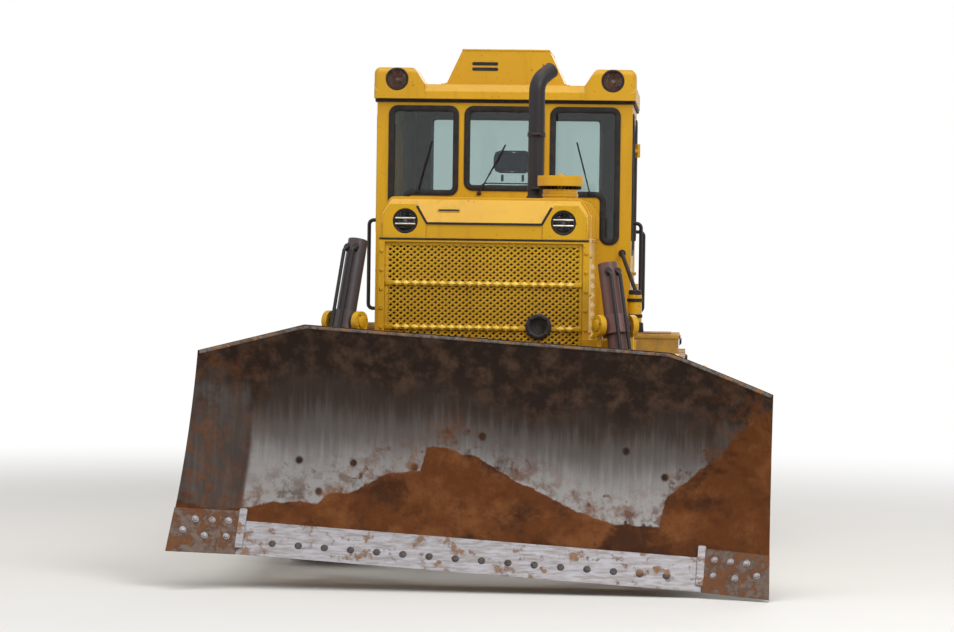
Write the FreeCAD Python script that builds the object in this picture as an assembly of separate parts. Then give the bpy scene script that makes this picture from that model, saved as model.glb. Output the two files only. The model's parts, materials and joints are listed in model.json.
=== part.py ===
import FreeCAD, Part
import math
import os

# Crawler bulldozer with a semi-U blade, in millimetres.
# +Z is up, the blade faces -Y and +X is the machine's left side.
# Pieces are modelled from a point midway between sprocket and idler, on the ground.
# The last section moves them all so that the origin is under the middle of the length.

V = FreeCAD.Vector
os.makedirs("parts", exist_ok=True)

# Fits and clearances
running_fit = 0.05          # radial, pins in bearings
seat_gap = 0.3              # curved faces that seat on each other
door_gap = 6.0              # all round a door leaf
slide_fit = 0.05            # radial, rods in their glands

# Tracks
shoe_count = 38
track_radius = 440.0        # pin line round sprocket and idler
wheelbase = 2480.0          # sprocket axis to idler axis
track_gauge = 1880.0        # middle of one track to middle of the other
shoe_width = 500.0
pin_height = 115.0          # pin line above the ground, on the tips of the lugs
shoe_inner = 45.0           # pin line to the shoe plate's inner face
shoe_thick = 15.0
lug_thick = 20.0
lug_set_in = 25.0           # from the shoe's leading pin
rail_half = 50.0            # link rail, pin line to its rolling face
rail_inner_x = 55.0         # from the track's middle
rail_outer_x = 105.0
bushing_radius = 28.0

# Wheels inside the tracks
sprocket_teeth = 27
sprocket_tip = 434.0
sprocket_root = 402.0
sprocket_thick = 60.0
sprocket_bore = 190.0
drive_neck = 165.0          # final drive: neck, flange, hub and cap
drive_neck_in = 75.0
drive_flange = 30.0
drive_hub_out = 70.0
drive_cap_in = 55.0
drive_cap_out = 110.0
idler_radius = 377.0
idler_flange = 412.0
idler_hub = 90.0
idler_web = 40.0
idler_rim = 60.0
wheel_half_width = 108.0
roller_radius = 98.0
roller_flange = 118.0
roller_gap = 54.0           # least room between two rollers' flanges
roller_off_idler = 480.0    # first and last roller from the end wheels' axes
roller_off_sprocket = 550.0
carrier_radius = 75.0
carrier_off_idler = 820.0
carrier_off_sprocket = 860.0
shaft_radius = 38.0
bearing_out = 145.0         # shaft end, from the track's middle

# Track frames
frame_half = 140.0
frame_bottom = 392.0
frame_top = 600.0
frame_off_idler = 420.0     # beam's ends from the end wheels' axes
frame_off_sprocket = 470.0
lug_plate = 25.0
bracket_lap = 20.0          # brackets let into the beam
bracket_half = 55.0
fork_height = 130.0
fork_thick = 31.0
fork_lap = 40.0             # fork arms let into the beam
fork_past = 90.0            # fork arms past the idler's shaft

# Chassis
rail_x_in = 350.0
rail_x_out = 430.0
rail_front = -1750.0
rail_rear = 1750.0
rail_top = 950.0
rail_shallow = 700.0        # bottom of the front part
rail_deep = 420.0           # bottom of the rear part
front_tie = 60.0            # cross members between the rails
tie_depth = 80.0
middle_tie_front = -60.0
middle_tie_low = 720.0
middle_tie_height = 180.0
rear_tie_back = 60.0
rear_tie_height = 220.0
cut_past = 300.0            # how far a bore's cutter passes its piece
rail_step_front = 120.0
rail_step_rear = 340.0
belly_plate = 12.0
guard_off_bar = 80.0        # belly guards stop short of their neighbours
guard_off_step = 10.0
guard_off_drawbar = 30.0
rear_plate = 50.0
rear_case_front = 650.0
rear_case_top = 1150.0
pivot_y = 600.0
pivot_z = 490.0
pivot_radius = 68.0
equalizer_y = -710.0
equalizer_depth = 100.0
equalizer_half = 1010.0

# Fenders
fender_top = 1240.0
fender_plate = 15.0
fender_front = -620.0
fender_rear = 1720.0
fender_skirt = 70.0
fender_lap = 120.0          # inner plate beside the chassis plate

# Engine, cooler and hood
engine_half = 300.0
engine_front = -1300.0
engine_rear = -150.0
engine_top = 1750.0
guard_half = 625.0
guard_wall = 38.0
guard_front = -1860.0
guard_rear = -1500.0
guard_bottom = 880.0
seam_z = 1985.0             # underside of the hood's front lip
guard_floor = 40.0
guard_roof = 25.0
grille_thick = 10.0
rib_proud = 10.0
boss_proud = 12.0
grille_set_back = 18.0
grille_pitch = 65.0
grille_hole_half_w = 22.0   # diamond holes
grille_hole_half_h = 17.6
grille_rows_z = 26.0
grille_border = 22.0
rib_levels = (1457.0, 1717.0)
rib_half = 14.0
crank_x = 330.0
crank_z = 1470.0
crank_outer = 75.0
crank_inner = 48.0
core_half = 500.0
core_set = 60.0             # core behind the guard's front
core_depth = 150.0
core_top = 1900.0
hood_half = 610.0
hood_flat = 560.0
hood_top = 2215.0
hood_shoulder = 2130.0
hood_sheet = 8.0
nose_step = 2072.0          # bottom of the sloped nose panel
nose_run = 110.0            # how far that panel leans back
nose_depth = 150.0
seam_lap = 10.0             # housings stop before the nose's back
lamp_x = 468.0
lamp_z = 2084.0
lamp_radius = 74.0
lamp_depth = 60.0
lamp_sunk = 2.0
nose_wall = 60.0
nose_lip = 30.0
housing_in = 345.0          # lamp housing: inner foot, inner and outer ends of its top, outer side
housing_crown_in = 410.0
housing_crown_out = 560.0
housing_out = 602.0
housing_top = 2185.0
housing_corner = 2120.0     # top of the outer side
exhaust_x = 255.0
exhaust_y = -900.0
exhaust_radius = 50.0
exhaust_wall = 4.0
exhaust_straight = 2900.0
exhaust_bend = 120.0
exhaust_turn = 58.0
exhaust_aim = 45.0          # from the machine's left towards its rear
exhaust_mouth = 75.0
cleaner_x = 420.0
cleaner_y = -1200.0
cleaner_neck = 106.0
cleaner_cap = 140.0
cleaner_waist = 80.0
cleaner_neck_top = 2292.0
cleaner_cap_low = 2312.0
cleaner_cap_high = 2375.0

# Cab
cab_half = 830.0
cab_front = 60.0
cab_rear = 1530.0
cab_wall = 50.0
floor_low = 1290.0
floor_top = 1330.0
wall_top = 2890.0
window_top = 2834.0
screen_half = 247.0
screen_bottom = 2311.0
side_screen_in = 310.0
side_screen_out = 740.0
side_screen_bottom = 2277.0
side_screen_leg = 640.0
side_screen_low = 1970.0
rear_window_half = 600.0
rear_window_low = 2050.0
quarter_low = 2000.0
quarter_high = 2800.0
quarter_front = (150.0, 290.0)
quarter_rear = (1200.0, 1430.0)
glass_thick = 6.0
window_round = 45.0
door_front = 330.0
door_rear = 1130.0
door_low = 1400.0
door_high = 2830.0
door_thick = 40.0
door_frame = 70.0
door_sill = 1900.0
handle_drop = 140.0
handle_inset = 25.0
handle_length = 150.0
handle_foot = 25.0
handle_reach = 34.0
handle_thick = 12.0
handle_height = 20.0
hinge_out = 20.0            # hinge line outside the cab's face
hinge_back = 12.0           # hinge line behind the door opening
hinge_radius = 14.0
hinge_pin = 7.0
hinge_height = 90.0
hinge_levels = (1650.0, 2600.0)
hinge_leaf = 6.0
roof_half = 850.0
roof_front = 10.0
roof_rear = 1600.0
roof_deck = 2985.0
roof_round = 25.0
crease_z = 2938.0           # upright fascia below it, sloping above it
crease_run = 30.0
hump_foot = 520.0
hump_in = 590.0
hump_rear = 380.0
hump_top = 3092.0
hump_round = 40.0
roof_lamp_x = 700.0
roof_lamp_z = 3016.0
vent_base = 390.0
vent_crown = 280.0
vent_top = 3220.0
vent_front = 120.0
vent_rear = 900.0
mount_half = 60.0
mount_places = ((650.0, 180.0), (650.0, 1400.0))

# Operator's place
seat_y = 900.0
seat_half = 240.0
pedestal_half = 170.0
pedestal_depth = 200.0
seat_low = 1620.0
seat_top = 1740.0
back_top = 2380.0
head_half = 140.0
head_low = 2425.0
head_top = 2600.0
head_thick = 90.0
head_post_x = 70.0
head_post_radius = 9.0
back_thick = 120.0
seat_length = 480.0
arm_half_width = 60.0
armrest_x = 370.0
armrest_top = 1860.0
lever_radius = 14.0
lever_inset = 60.0
lever_lean = 20.0
lever_rake = 50.0
console_front = 330.0
console_rear = 180.0
lever_top = 2080.0
dash_depth = 190.0
dash_half = 330.0
dash_top = 2060.0

# Tanks, boxes and drawbar
tank_half = 640.0
tank_front = 1545.0
tank_rear = 2010.0
tank_top = 2020.0
tank_round = 60.0
battery_box = (660.0, 1150.0, -600.0, -120.0, 1400.0)
tool_box = (870.0, 1160.0, 1180.0, 1700.0, 1385.0)
canister_x = 870.0
canister_y = -430.0
canister_radius = 45.0
canister_foot = 70.0
canister_top = 1645.0
canister_cap = 1675.0
drawbar_half = 60.0
drawbar_thick = 50.0
drawbar_front = 1200.0
drawbar_rear = 2230.0
drawbar_low = 370.0
drawbar_pin = 22.5
ripper_bolt_radius = 13.5
ripper_spacing_x = 600.0
ripper_spacing_z = 420.0
ripper_middle_z = 800.0
ripper_bolt_depth = 40.0

# Blade, in its own upright place: z is measured from its lower edge
blade_tip_y = -2900.0
blade_height = 1310.0
blade_low_half = 1685.0
blade_end_lean = 55.0       # corner inside the foot
blade_slope_run = 590.0     # top bend inside the corner
blade_corner_z = 1120.0
blade_sheet = 16.0
sheet_low = 60.0            # foot of the sheet, behind the cutting edge
bevel_height = 240.0
bevel_angle = 32.0          # from upright
bowl_z = 720.0
bowl_y = -2612.0
top_y = -2715.0
wing_width = 375.0          # folded end, measured along X
fold_x = blade_low_half - wing_width
blade_corner_half = blade_low_half - blade_end_lean
blade_top_half = blade_corner_half - blade_slope_run
wing_angle = 18.0
clear_reach = 500.0         # how far cutting shapes pass the blade
edge_thick = 22.0
edge_height = 200.0
bit_height = 255.0
bit_thick = 32.0
back_plane_y = -2490.0
rib_thick = 20.0
behind_depth = 700.0
back_low = 60.0             # foot of the ribs, above the lower edge
rim_show = 10.0             # sheet above the ribs
blade_ribs = (140.0, 560.0, 850.0, 1075.0, 1240.0)
blade_shelves = (180.0, 430.0, 860.0, 1180.0)
blade_tilt = 3.49           # machine's left end lower
blade_raise = 113.0         # lower edge's middle above the ground

# Push arms and lift
trunnion_y = 350.0
trunnion_z = 500.0
arm_in = 1262.0
arm_out = 1378.0
arm_deep = 210.0
arm_end_y = -2470.0
arm_end_z = 330.0
arm_taper = 500.0           # from the trunnion to the full depth
trunnion_pin = 55.0
trunnion_boss = 95.0
trunnion_ring = 120.0
brace_radius = 42.0
brace_sleeve = 22.0
brace_eye = 20.0
brace_eye_half = 35.0
brace_foot_y = -1250.0
brace_head_z = 1010.0
stay_radius = 38.0
stay_foot_y = -1900.0
stay_head_x = 420.0
lift_low = -5.0             # degrees, the blade's lowest place
lift_high = 11.0
cylinder_x = 790.0
cylinder_y = -2140.0
cylinder_z = 1490.0
cylinder_toe = 30.0         # hinge line turned from X, degrees
eye_x = 940.0
eye_y = -2388.0
eye_z = 310.0               # above the blade's lower edge
barrel_radius = 58.0
barrel_bore = 50.0
gland_length = 60.0
rod_radius = 30.0
eye_radius = 56.0
eye_half = 34.0
eye_pin = 28.0
pin_head = 14.0
pin_head_radius = 64.0
eye_pin_play = 30.0         # in the blade's lugs, for the eye's drift
eye_side_play = 54.0
pin_play = 42.0             # between the pin's heads and the lugs
lug_radius = 84.0
lug_plate_thick = 26.0
collar_radius = 82.0
collar_half = 55.0
yoke_gap = 6.0
ear_drop = 190.0
yoke_pad = 45.0
yoke_pad_drop = 90.0
yoke_pad_height = 180.0
stub_radius = 30.0
stub_length = 42.0
yoke_plate = 36.0
yoke_radius = 62.0
rod_overlap = 130.0         # rod left in the barrel when fully out
barrel_end = 45.0
barrel_stop = 70.0          # barrel's end above the rod's eye when fully in

sides = (("left", 1.0), ("right", -1.0))
nodes = {}


def box(x0, x1, y0, y1, z0, z1):
    """A block between two corners."""
    return Part.makeBox(x1 - x0, y1 - y0, z1 - z0, V(x0, y0, z0))


def face(points):
    """A flat face inside a closed run of points."""
    return Part.Face(Part.makePolygon(points + points[:1]))


def prism_x(outline, x0, x1):
    """An outline of (y, z) carried along X."""
    return face([V(x0, y, z) for y, z in outline]).extrude(V(x1 - x0, 0, 0))


def prism_y(outline, y0, y1):
    """An outline of (x, z) carried along Y."""
    return face([V(x, y0, z) for x, z in outline]).extrude(V(0, y1 - y0, 0))


def prism_z(outline, z0, z1):
    """An outline of (x, y) carried along Z."""
    return face([V(x, y, z0) for x, y in outline]).extrude(V(0, 0, z1 - z0))


def bar(start, end, radius):
    """A round bar between two points."""
    return Part.makeCylinder(radius, (end - start).Length, start, end - start)


def disc_x(radius, x0, x1, y, z):
    """A disc whose axis lies along X."""
    return Part.makeCylinder(radius, x1 - x0, V(x0, y, z), V(1, 0, 0))


def disc_y(radius, x, y0, y1, z):
    """A disc whose axis lies along Y."""
    return Part.makeCylinder(radius, y1 - y0, V(x, y0, z), V(0, 1, 0))


def disc_z(radius, x, y, z0, z1):
    """A disc whose axis is upright."""
    return Part.makeCylinder(radius, z1 - z0, V(x, y, z0), V(0, 0, 1))


def joined(shapes):
    """One solid out of shapes that touch or overlap."""
    return shapes[0].multiFuse(shapes[1:]).removeSplitter()


def group(shapes):
    """Separate solids that share a node."""
    return Part.makeCompound(shapes)


def mirrored(shape):
    """The same shape on the machine's other side."""
    return shape.mirror(V(0, 0, 0), V(1, 0, 0))


def both_sides(name, shape):
    """Keeps a left-hand piece and its mirror image as two nodes."""
    nodes[name + "_left"] = shape
    nodes[name + "_right"] = mirrored(shape)


def pair(name, shape):
    """Keeps a left-hand piece and its mirror image in one node."""
    nodes[name] = group([shape, mirrored(shape)])


# Places that several pieces share
track_x = track_gauge / 2
axle_z = pin_height + track_radius
sprocket_y = wheelbase / 2
idler_y = -wheelbase / 2
frame_front = idler_y + frame_off_idler
frame_rear = sprocket_y - frame_off_sprocket
loop_length = 2 * wheelbase + 2 * math.pi * track_radius
shoe_pitch = loop_length / shoe_count


def loop_place(run):
    """Pin place and outward direction, as (y, z), a given length round the track."""
    arc = math.pi * track_radius
    run = run % loop_length
    if run < wheelbase:
        return (idler_y + run, pin_height), (0.0, -1.0)
    run -= wheelbase
    if run < arc:
        turn = run / track_radius
        out = (math.sin(turn), -math.cos(turn))
        return (sprocket_y + track_radius * out[0], axle_z + track_radius * out[1]), out
    run -= arc
    if run < wheelbase:
        return (sprocket_y - run, axle_z + track_radius), (0.0, 1.0)
    turn = (run - wheelbase) / track_radius
    out = (-math.sin(turn), math.cos(turn))
    return (idler_y + track_radius * out[0], axle_z + track_radius * out[1]), out


def distinct(outline):
    """The outline without points that repeat the one before."""
    kept = [outline[0]]
    for point in outline[1:]:
        if math.dist(point, kept[-1]) > 0.01:
            kept.append(point)
    return kept if math.dist(kept[0], kept[-1]) > 0.01 else kept[:-1]


def shoe_lines(half_pitch_shift):
    """Outlines of the shoes with their lugs, of the plates' inner side and of the rails."""
    lugs, inner, rail = [], [], []
    for index in range(shoe_count):
        run = (index + half_pitch_shift) * shoe_pitch
        here, out = loop_place(run)
        there, _ = loop_place(run + shoe_pitch)
        span = math.dist(here, there)
        along = ((there[0] - here[0]) / span, (there[1] - here[1]) / span)
        away = (along[1], -along[0])

        def at(ahead, up):
            return (here[0] + along[0] * ahead + away[0] * up, here[1] + along[1] * ahead + away[1] * up)

        plate = shoe_inner + shoe_thick
        inner += [at(0, shoe_inner), at(span, shoe_inner)]
        lugs += [at(0, plate), at(lug_set_in, plate), at(lug_set_in, pin_height)]
        lugs += [at(lug_set_in + lug_thick, pin_height), at(lug_set_in + lug_thick, plate), at(span, plate)]
        rail.append((here[0] - out[0] * rail_half, here[1] - out[1] * rail_half))
    return distinct(lugs), distinct(inner), rail


def ring_x(outer, inner, x0, x1):
    """A closed band between two outlines of (y, z), carried along X."""
    return prism_x(outer, x0, x1).cut(prism_x(inner, x0 - 1, x1 + 1))


def bushing(index):
    """An eight-sided bushing between the two rails of a link."""
    (y, z), _ = loop_place((index + 0.5) * shoe_pitch)
    corners = [math.radians(22.5 + 45 * k) for k in range(8)]
    outline = [(y + bushing_radius * math.cos(a), z + bushing_radius * math.sin(a)) for a in corners]
    return prism_x(outline, track_x - rail_inner_x, track_x + rail_inner_x)


# Track: shoes with one lug each, two link rails and the bushings between them
lug_line, plate_line, rail_line = shoe_lines(0.5)
track_parts = [ring_x(lug_line, plate_line, track_x - shoe_width / 2, track_x + shoe_width / 2)]
for x0, x1 in ((-rail_outer_x, -rail_inner_x), (rail_inner_x, rail_outer_x)):
    track_parts.append(ring_x(plate_line, rail_line, track_x + x0, track_x + x1))
track_parts += [bushing(index) for index in range(shoe_count)]
both_sides("track", joined(track_parts))


def spool(y, z, radius, flange):
    """A roller with a flange at each end of its two treads, and its shaft ends."""
    half = wheel_half_width
    parts = [disc_x(radius, track_x - half, track_x + half, y, z)]
    for x0, x1 in ((-half, -rail_outer_x + 0), (-rail_inner_x + 4, rail_inner_x - 4), (rail_outer_x, half)):
        if x1 - x0 > 8:
            parts.append(disc_x(flange, track_x + x0, track_x + x1, y, z))
    parts.append(disc_x(shaft_radius, track_x - bearing_out, track_x + bearing_out, y, z))
    return joined(parts)


# Sprocket: a toothed ring on the final drive, every second gap on a bushing
tooth_turn = 2 * math.pi / sprocket_teeth
first_bushing = (shoe_pitch * (math.ceil(wheelbase / shoe_pitch - 0.5) + 0.5) - wheelbase) / track_radius
sprocket_outline = []
for tooth in range(sprocket_teeth):
    middle = first_bushing + tooth_turn * (tooth + 0.5)
    corners = ((-0.34, sprocket_root), (-0.14, sprocket_tip), (0.14, sprocket_tip), (0.34, sprocket_root))
    for share, radius in corners:
        turn = middle + share * tooth_turn
        sprocket_outline.append((sprocket_y + radius * math.sin(turn), axle_z - radius * math.cos(turn)))
sprocket = prism_x(sprocket_outline, track_x - sprocket_thick / 2, track_x + sprocket_thick / 2)
pair("sprockets", sprocket.cut(disc_x(sprocket_bore, 0, 2 * track_x, sprocket_y, axle_z)))

# Final drive: case beside the chassis, hub through the sprocket, domed cover outside
hub_parts = [
    disc_x(drive_neck, rail_x_out, track_x - drive_neck_in, sprocket_y, axle_z),
    disc_x(sprocket_bore + drive_flange, track_x - drive_neck_in, track_x - sprocket_thick / 2,
           sprocket_y, axle_z),
    disc_x(sprocket_bore - seat_gap, track_x - sprocket_thick / 2, track_x + drive_hub_out,
           sprocket_y, axle_z),
    disc_x(sprocket_bore - drive_cap_in, track_x + drive_hub_out, track_x + drive_cap_out,
           sprocket_y, axle_z),
]
pair("final_drives", joined(hub_parts))

# Idler wheel: rim with a middle flange, web, hub and shaft
rim = disc_x(idler_radius, track_x - wheel_half_width, track_x + wheel_half_width, idler_y, axle_z)
rim_bore = idler_radius - idler_rim
hollow = disc_x(rim_bore, track_x - cut_past, track_x - idler_web / 2, idler_y, axle_z)
hollow = hollow.fuse(disc_x(rim_bore, track_x + idler_web / 2, track_x + cut_past, idler_y, axle_z))
flange = disc_x(idler_flange, track_x - rail_inner_x + 8, track_x + rail_inner_x - 8, idler_y, axle_z)
hub = disc_x(idler_hub, track_x - wheel_half_width - 4, track_x + wheel_half_width + 4, idler_y, axle_z)
shaft = disc_x(shaft_radius, track_x - bearing_out - 8, track_x + bearing_out + 8, idler_y, axle_z)
pair("idlers", joined([rim.cut(hollow), flange.cut(hollow), hub, shaft]))

# Track rollers below the frame and carrier rollers above it
roller_z = pin_height + rail_half + roller_radius + seat_gap
carrier_z = axle_z + track_radius - rail_half - carrier_radius - 12
roller_first_y = idler_y + roller_off_idler
roller_run = sprocket_y - roller_off_sprocket - roller_first_y
roller_spaces = math.floor(roller_run / (2 * roller_flange + roller_gap))
roller_places = [roller_first_y + roller_run * k / roller_spaces for k in range(roller_spaces + 1)]
carrier_places = (idler_y + carrier_off_idler, sprocket_y - carrier_off_sprocket)
rollers = [spool(y, roller_z, roller_radius, roller_flange) for y in roller_places]
rollers += [spool(y, carrier_z, carrier_radius, carrier_radius + 14) for y in carrier_places]
nodes["rollers"] = group(rollers + [mirrored(roller) for roller in rollers])


def bearing_plates(y, z, half_width, z0, z1, first, last):
    """Two plates that carry a shaft, one each side of a wheel."""
    plates = []
    for x0 in (-last, first):
        plate = box(track_x + x0, track_x + x0 + last - first, y - half_width, y + half_width, z0, z1)
        plates.append(plate.cut(disc_x(
            shaft_radius + seat_gap, track_x - cut_past, track_x + cut_past, y, z)))
    return plates


# Track frame: box beam, roller brackets, carrier brackets, idler fork and blade trunnion
beam = box(track_x - frame_half, track_x + frame_half, frame_front, frame_rear, frame_bottom, frame_top)
frame_parts = [beam]
plate_first = bearing_out - lug_plate
for y in roller_places:
    frame_parts += bearing_plates(
        y, roller_z, bracket_half, roller_z - bracket_half, frame_bottom + bracket_lap,
        plate_first, bearing_out)
for y in carrier_places:
    frame_parts += bearing_plates(
        y, carrier_z, bracket_half, frame_top - bracket_lap, carrier_z + bracket_half,
        plate_first, bearing_out)
fork_z0 = axle_z - fork_height / 2
fork_first = wheel_half_width + 8
for x0 in (-fork_first - fork_thick, fork_first):
    arm = box(track_x + x0, track_x + x0 + fork_thick, idler_y - fork_past, frame_front + fork_lap,
              fork_z0, fork_z0 + fork_height)
    frame_parts.append(arm.cut(disc_x(
        shaft_radius + seat_gap, track_x - cut_past, track_x + cut_past, idler_y, axle_z)))
boss_end = arm_in - 8
frame_parts.append(disc_x(trunnion_boss, track_x + frame_half - 20, boss_end, trunnion_y, trunnion_z))
frame_parts.append(disc_x(trunnion_pin, boss_end - 5, arm_out + 22, trunnion_y, trunnion_z))
frame_parts.append(disc_x(trunnion_pin + 28, arm_out + 8, arm_out + 26, trunnion_y, trunnion_z))
both_sides("track_frame", joined(frame_parts))

# Chassis: two deep plates tied by cross members
side_line = [
    (rail_front, rail_shallow), (rail_step_front, rail_shallow), (rail_step_rear, rail_deep),
    (rail_rear, rail_deep), (rail_rear, rail_top), (rail_front, rail_top),
]
chassis = [prism_x(side_line, rail_x_in, rail_x_out), prism_x(side_line, -rail_x_out, -rail_x_in)]
chassis.append(box(-rail_x_in, rail_x_in, rail_front, rail_front + front_tie, rail_shallow, rail_top))
chassis.append(box(
    -rail_x_in, rail_x_in, middle_tie_front, middle_tie_front + tie_depth, middle_tie_low,
    middle_tie_low + middle_tie_height))
rear_tie_front = rail_step_rear + rear_tie_back
chassis.append(box(
    -rail_x_in, rail_x_in, rear_tie_front, rear_tie_front + tie_depth, rail_deep,
    rail_deep + rear_tie_height))
pivot_shaft = disc_x(pivot_radius, rail_x_in, track_x - frame_half, pivot_y, pivot_z)
nodes["main_frame"] = joined(chassis + [pivot_shaft, mirrored(pivot_shaft)])
front_guard = box(
    -rail_x_out, rail_x_out, rail_front, equalizer_y - guard_off_bar,
    rail_shallow - belly_plate, rail_shallow)
rear_guard = box(
    -rail_x_out, rail_x_out, rail_step_rear + guard_off_step, drawbar_front - guard_off_drawbar,
    rail_deep - belly_plate, rail_deep)
nodes["belly_guards"] = group([front_guard, rear_guard])
equalizer_top = rail_shallow
nodes["equalizer_bar"] = box(
    -equalizer_half, equalizer_half, equalizer_y - equalizer_depth / 2, equalizer_y + equalizer_depth / 2,
    frame_top, equalizer_top)

# Rear case with the flange that an attachment bolts to
case = box(-rail_x_in, rail_x_in, rear_case_front, rail_rear, rail_deep + 20, rear_case_top)
flange_back = rail_rear + rear_plate
flange = box(-rail_x_out, rail_x_out, rail_rear, flange_back, rail_deep + 20, rear_case_top)
for x in (-ripper_spacing_x / 2, ripper_spacing_x / 2):
    for z in (ripper_middle_z - ripper_spacing_z / 2, ripper_middle_z + ripper_spacing_z / 2):
        flange = flange.cut(disc_y(
            ripper_bolt_radius, x, flange_back - ripper_bolt_depth, flange_back + 1, z))
nodes["rear_case"] = joined([case, flange])

# Drawbar under the rear case, with its upright pin hole
tongue = box(-drawbar_half, drawbar_half, drawbar_front, drawbar_rear - drawbar_half,
             drawbar_low, drawbar_low + drawbar_thick)
tongue = tongue.fuse(disc_z(
    drawbar_half, 0, drawbar_rear - drawbar_half, drawbar_low, drawbar_low + drawbar_thick))
tongue = tongue.cut(disc_z(drawbar_pin, 0, drawbar_rear - drawbar_half, drawbar_low - 1, drawbar_low + 60))
hanger_top = rail_deep + 20
hanger = box(-110, 110, rail_rear - 300, rail_rear - 60, drawbar_low + drawbar_thick, hanger_top)
nodes["drawbar"] = joined([tongue, hanger])

# Engine block, cooler core and radiator guard
nodes["engine_block"] = joined([
    box(-engine_half, engine_half, engine_front, engine_rear, rail_shallow + 60, engine_top),
    box(-rail_x_in, rail_x_in, engine_front + 150, engine_front + 260, rail_shallow + 120, rail_top - 40),
    box(-rail_x_in, rail_x_in, engine_rear - 260, engine_rear - 150, rail_shallow + 120, rail_top - 40),
])
core_front = guard_front + core_set
nodes["cooler_core"] = box(
    -core_half, core_half, core_front, core_front + core_depth, rail_top + guard_floor, core_top)
shell = box(-guard_half, guard_half, guard_front, guard_rear, guard_bottom, seam_z)
inside = guard_half - guard_wall
window = box(-inside, inside, guard_front - 1, guard_rear + 1, rail_top + guard_floor, seam_z - guard_roof)
window = window.fuse(box(-inside, inside, guard_front - 1, guard_rear + 1, guard_bottom - 1, rail_top))
nodes["radiator_guard"] = shell.cut(window)

# Grille: a pierced plate with two plain ribs and a starting-handle boss
grille_y0 = guard_front + grille_set_back
grille_low = rail_top + guard_floor
grille_high = seam_z - guard_roof
outline = [V(-inside, grille_y0, grille_low), V(inside, grille_y0, grille_low),
           V(inside, grille_y0, grille_high), V(-inside, grille_y0, grille_high)]
holes = []
row_total = int((grille_high - grille_low - 2 * (grille_border + grille_hole_half_h)) / grille_rows_z) + 1
row_start = (grille_low + grille_high - (row_total - 1) * grille_rows_z) / 2
column_total = int(2 * (inside - grille_border - grille_hole_half_w) / grille_pitch) + 1
for row in range(row_total):
    z = row_start + row * grille_rows_z
    if min(abs(z - level) for level in rib_levels) < rib_half + grille_hole_half_h:
        continue
    columns = column_total - row % 2
    for column in range(columns):
        x = (column - (columns - 1) / 2) * grille_pitch
        if math.hypot(x - crank_x, z - crank_z) < crank_outer + grille_hole_half_w:
            continue
        corners = (
            (-grille_hole_half_w, 0), (0, -grille_hole_half_h),
            (grille_hole_half_w, 0), (0, grille_hole_half_h))
        points = [V(x + dx, grille_y0, z + dz) for dx, dz in corners]
        holes.append(Part.makePolygon(points + points[:1]))
border = Part.makePolygon(outline + outline[:1])
plate = Part.makeFace([border] + holes, "Part::FaceMakerBullseye").extrude(V(0, grille_thick, 0))
boss = disc_y(crank_outer, crank_x, grille_y0 - boss_proud, grille_y0 + grille_thick, crank_z)
crank_hole = disc_y(crank_inner, crank_x, grille_y0 - cut_past, grille_y0 + cut_past, crank_z)
plate = plate.fuse(boss).cut(crank_hole)
ribs = [box(-inside, inside, grille_y0 - rib_proud, grille_y0, level - rib_half, level + rib_half)
        for level in rib_levels]
clear_ribs = [
    rib.cut(disc_y(crank_outer, crank_x, grille_y0 - cut_past, grille_y0 + cut_past, crank_z))
    for rib in ribs]
nodes["grille"] = joined([plate] + clear_ribs)

# Hood: folded top sheet, nose with two lamp housings, side panels
hood_rear = cab_front
nose_back = guard_front + nose_depth


def hood_section(inset):
    """The hood's cross section, drawn in from its outer line."""
    return [
        (-hood_half + inset, seam_z), (hood_half - inset, seam_z),
        (hood_half - inset, hood_shoulder - inset / 2),
        (hood_flat - inset / 2, hood_top - inset), (-hood_flat + inset / 2, hood_top - inset),
        (-hood_half + inset, hood_shoulder - inset / 2),
    ]


sheet = prism_y(hood_section(0), nose_back, hood_rear)
sheet = sheet.cut(prism_y(hood_section(hood_sheet), nose_back, hood_rear))
sheet = sheet.cut(disc_z(exhaust_radius + 12, exhaust_x, exhaust_y, hood_top - 60, hood_top + 10))
nodes["hood_top"] = sheet
nose_line = [
    (guard_front + 8, seam_z), (nose_back, seam_z), (nose_back, hood_top),
    (guard_front + 8 + nose_run, hood_top), (guard_front + 8, nose_step),
]
nose = prism_x(nose_line, -hood_half, hood_half).common(prism_y(hood_section(0), guard_front, nose_back))
housing_line = [
    (housing_in, seam_z), (housing_in, nose_step), (housing_crown_in, housing_top),
    (housing_crown_out, housing_top), (housing_out, housing_corner), (housing_out, seam_z),
]
housing = prism_y(housing_line, guard_front, nose_back - seam_lap)
nose = joined([nose, housing, mirrored(housing)]).cut(box(
    -hood_half, hood_half, guard_front + nose_wall, nose_back + 1, seam_z - 1, nose_step - nose_lip))
for x in (-lamp_x, lamp_x):
    nose = nose.cut(disc_y(lamp_radius + seat_gap, x, guard_front - 5, guard_front + lamp_depth, lamp_z))
nodes["hood_nose"] = nose
nodes["front_lamps"] = group([
    disc_y(lamp_radius, x, guard_front + 10, guard_front + lamp_depth, lamp_z) for x in (-lamp_x, lamp_x)])
panel = box(hood_half - hood_sheet, hood_half, guard_rear, cab_front, rail_top, seam_z)
pair("hood_sides", panel)

# Exhaust stack, bent over at its mouth
bend_turn = math.radians(exhaust_turn)
bend_start = V(exhaust_x, exhaust_y, exhaust_straight)
aim = V(math.cos(math.radians(exhaust_aim)), math.sin(math.radians(exhaust_aim)), 0)
up = V(0, 0, 1)


def on_bend(turn):
    """A point of the stack's bend after so many radians of turning over."""
    return bend_start + aim * (exhaust_bend * (1 - math.cos(turn))) + up * (exhaust_bend * math.sin(turn))


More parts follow.
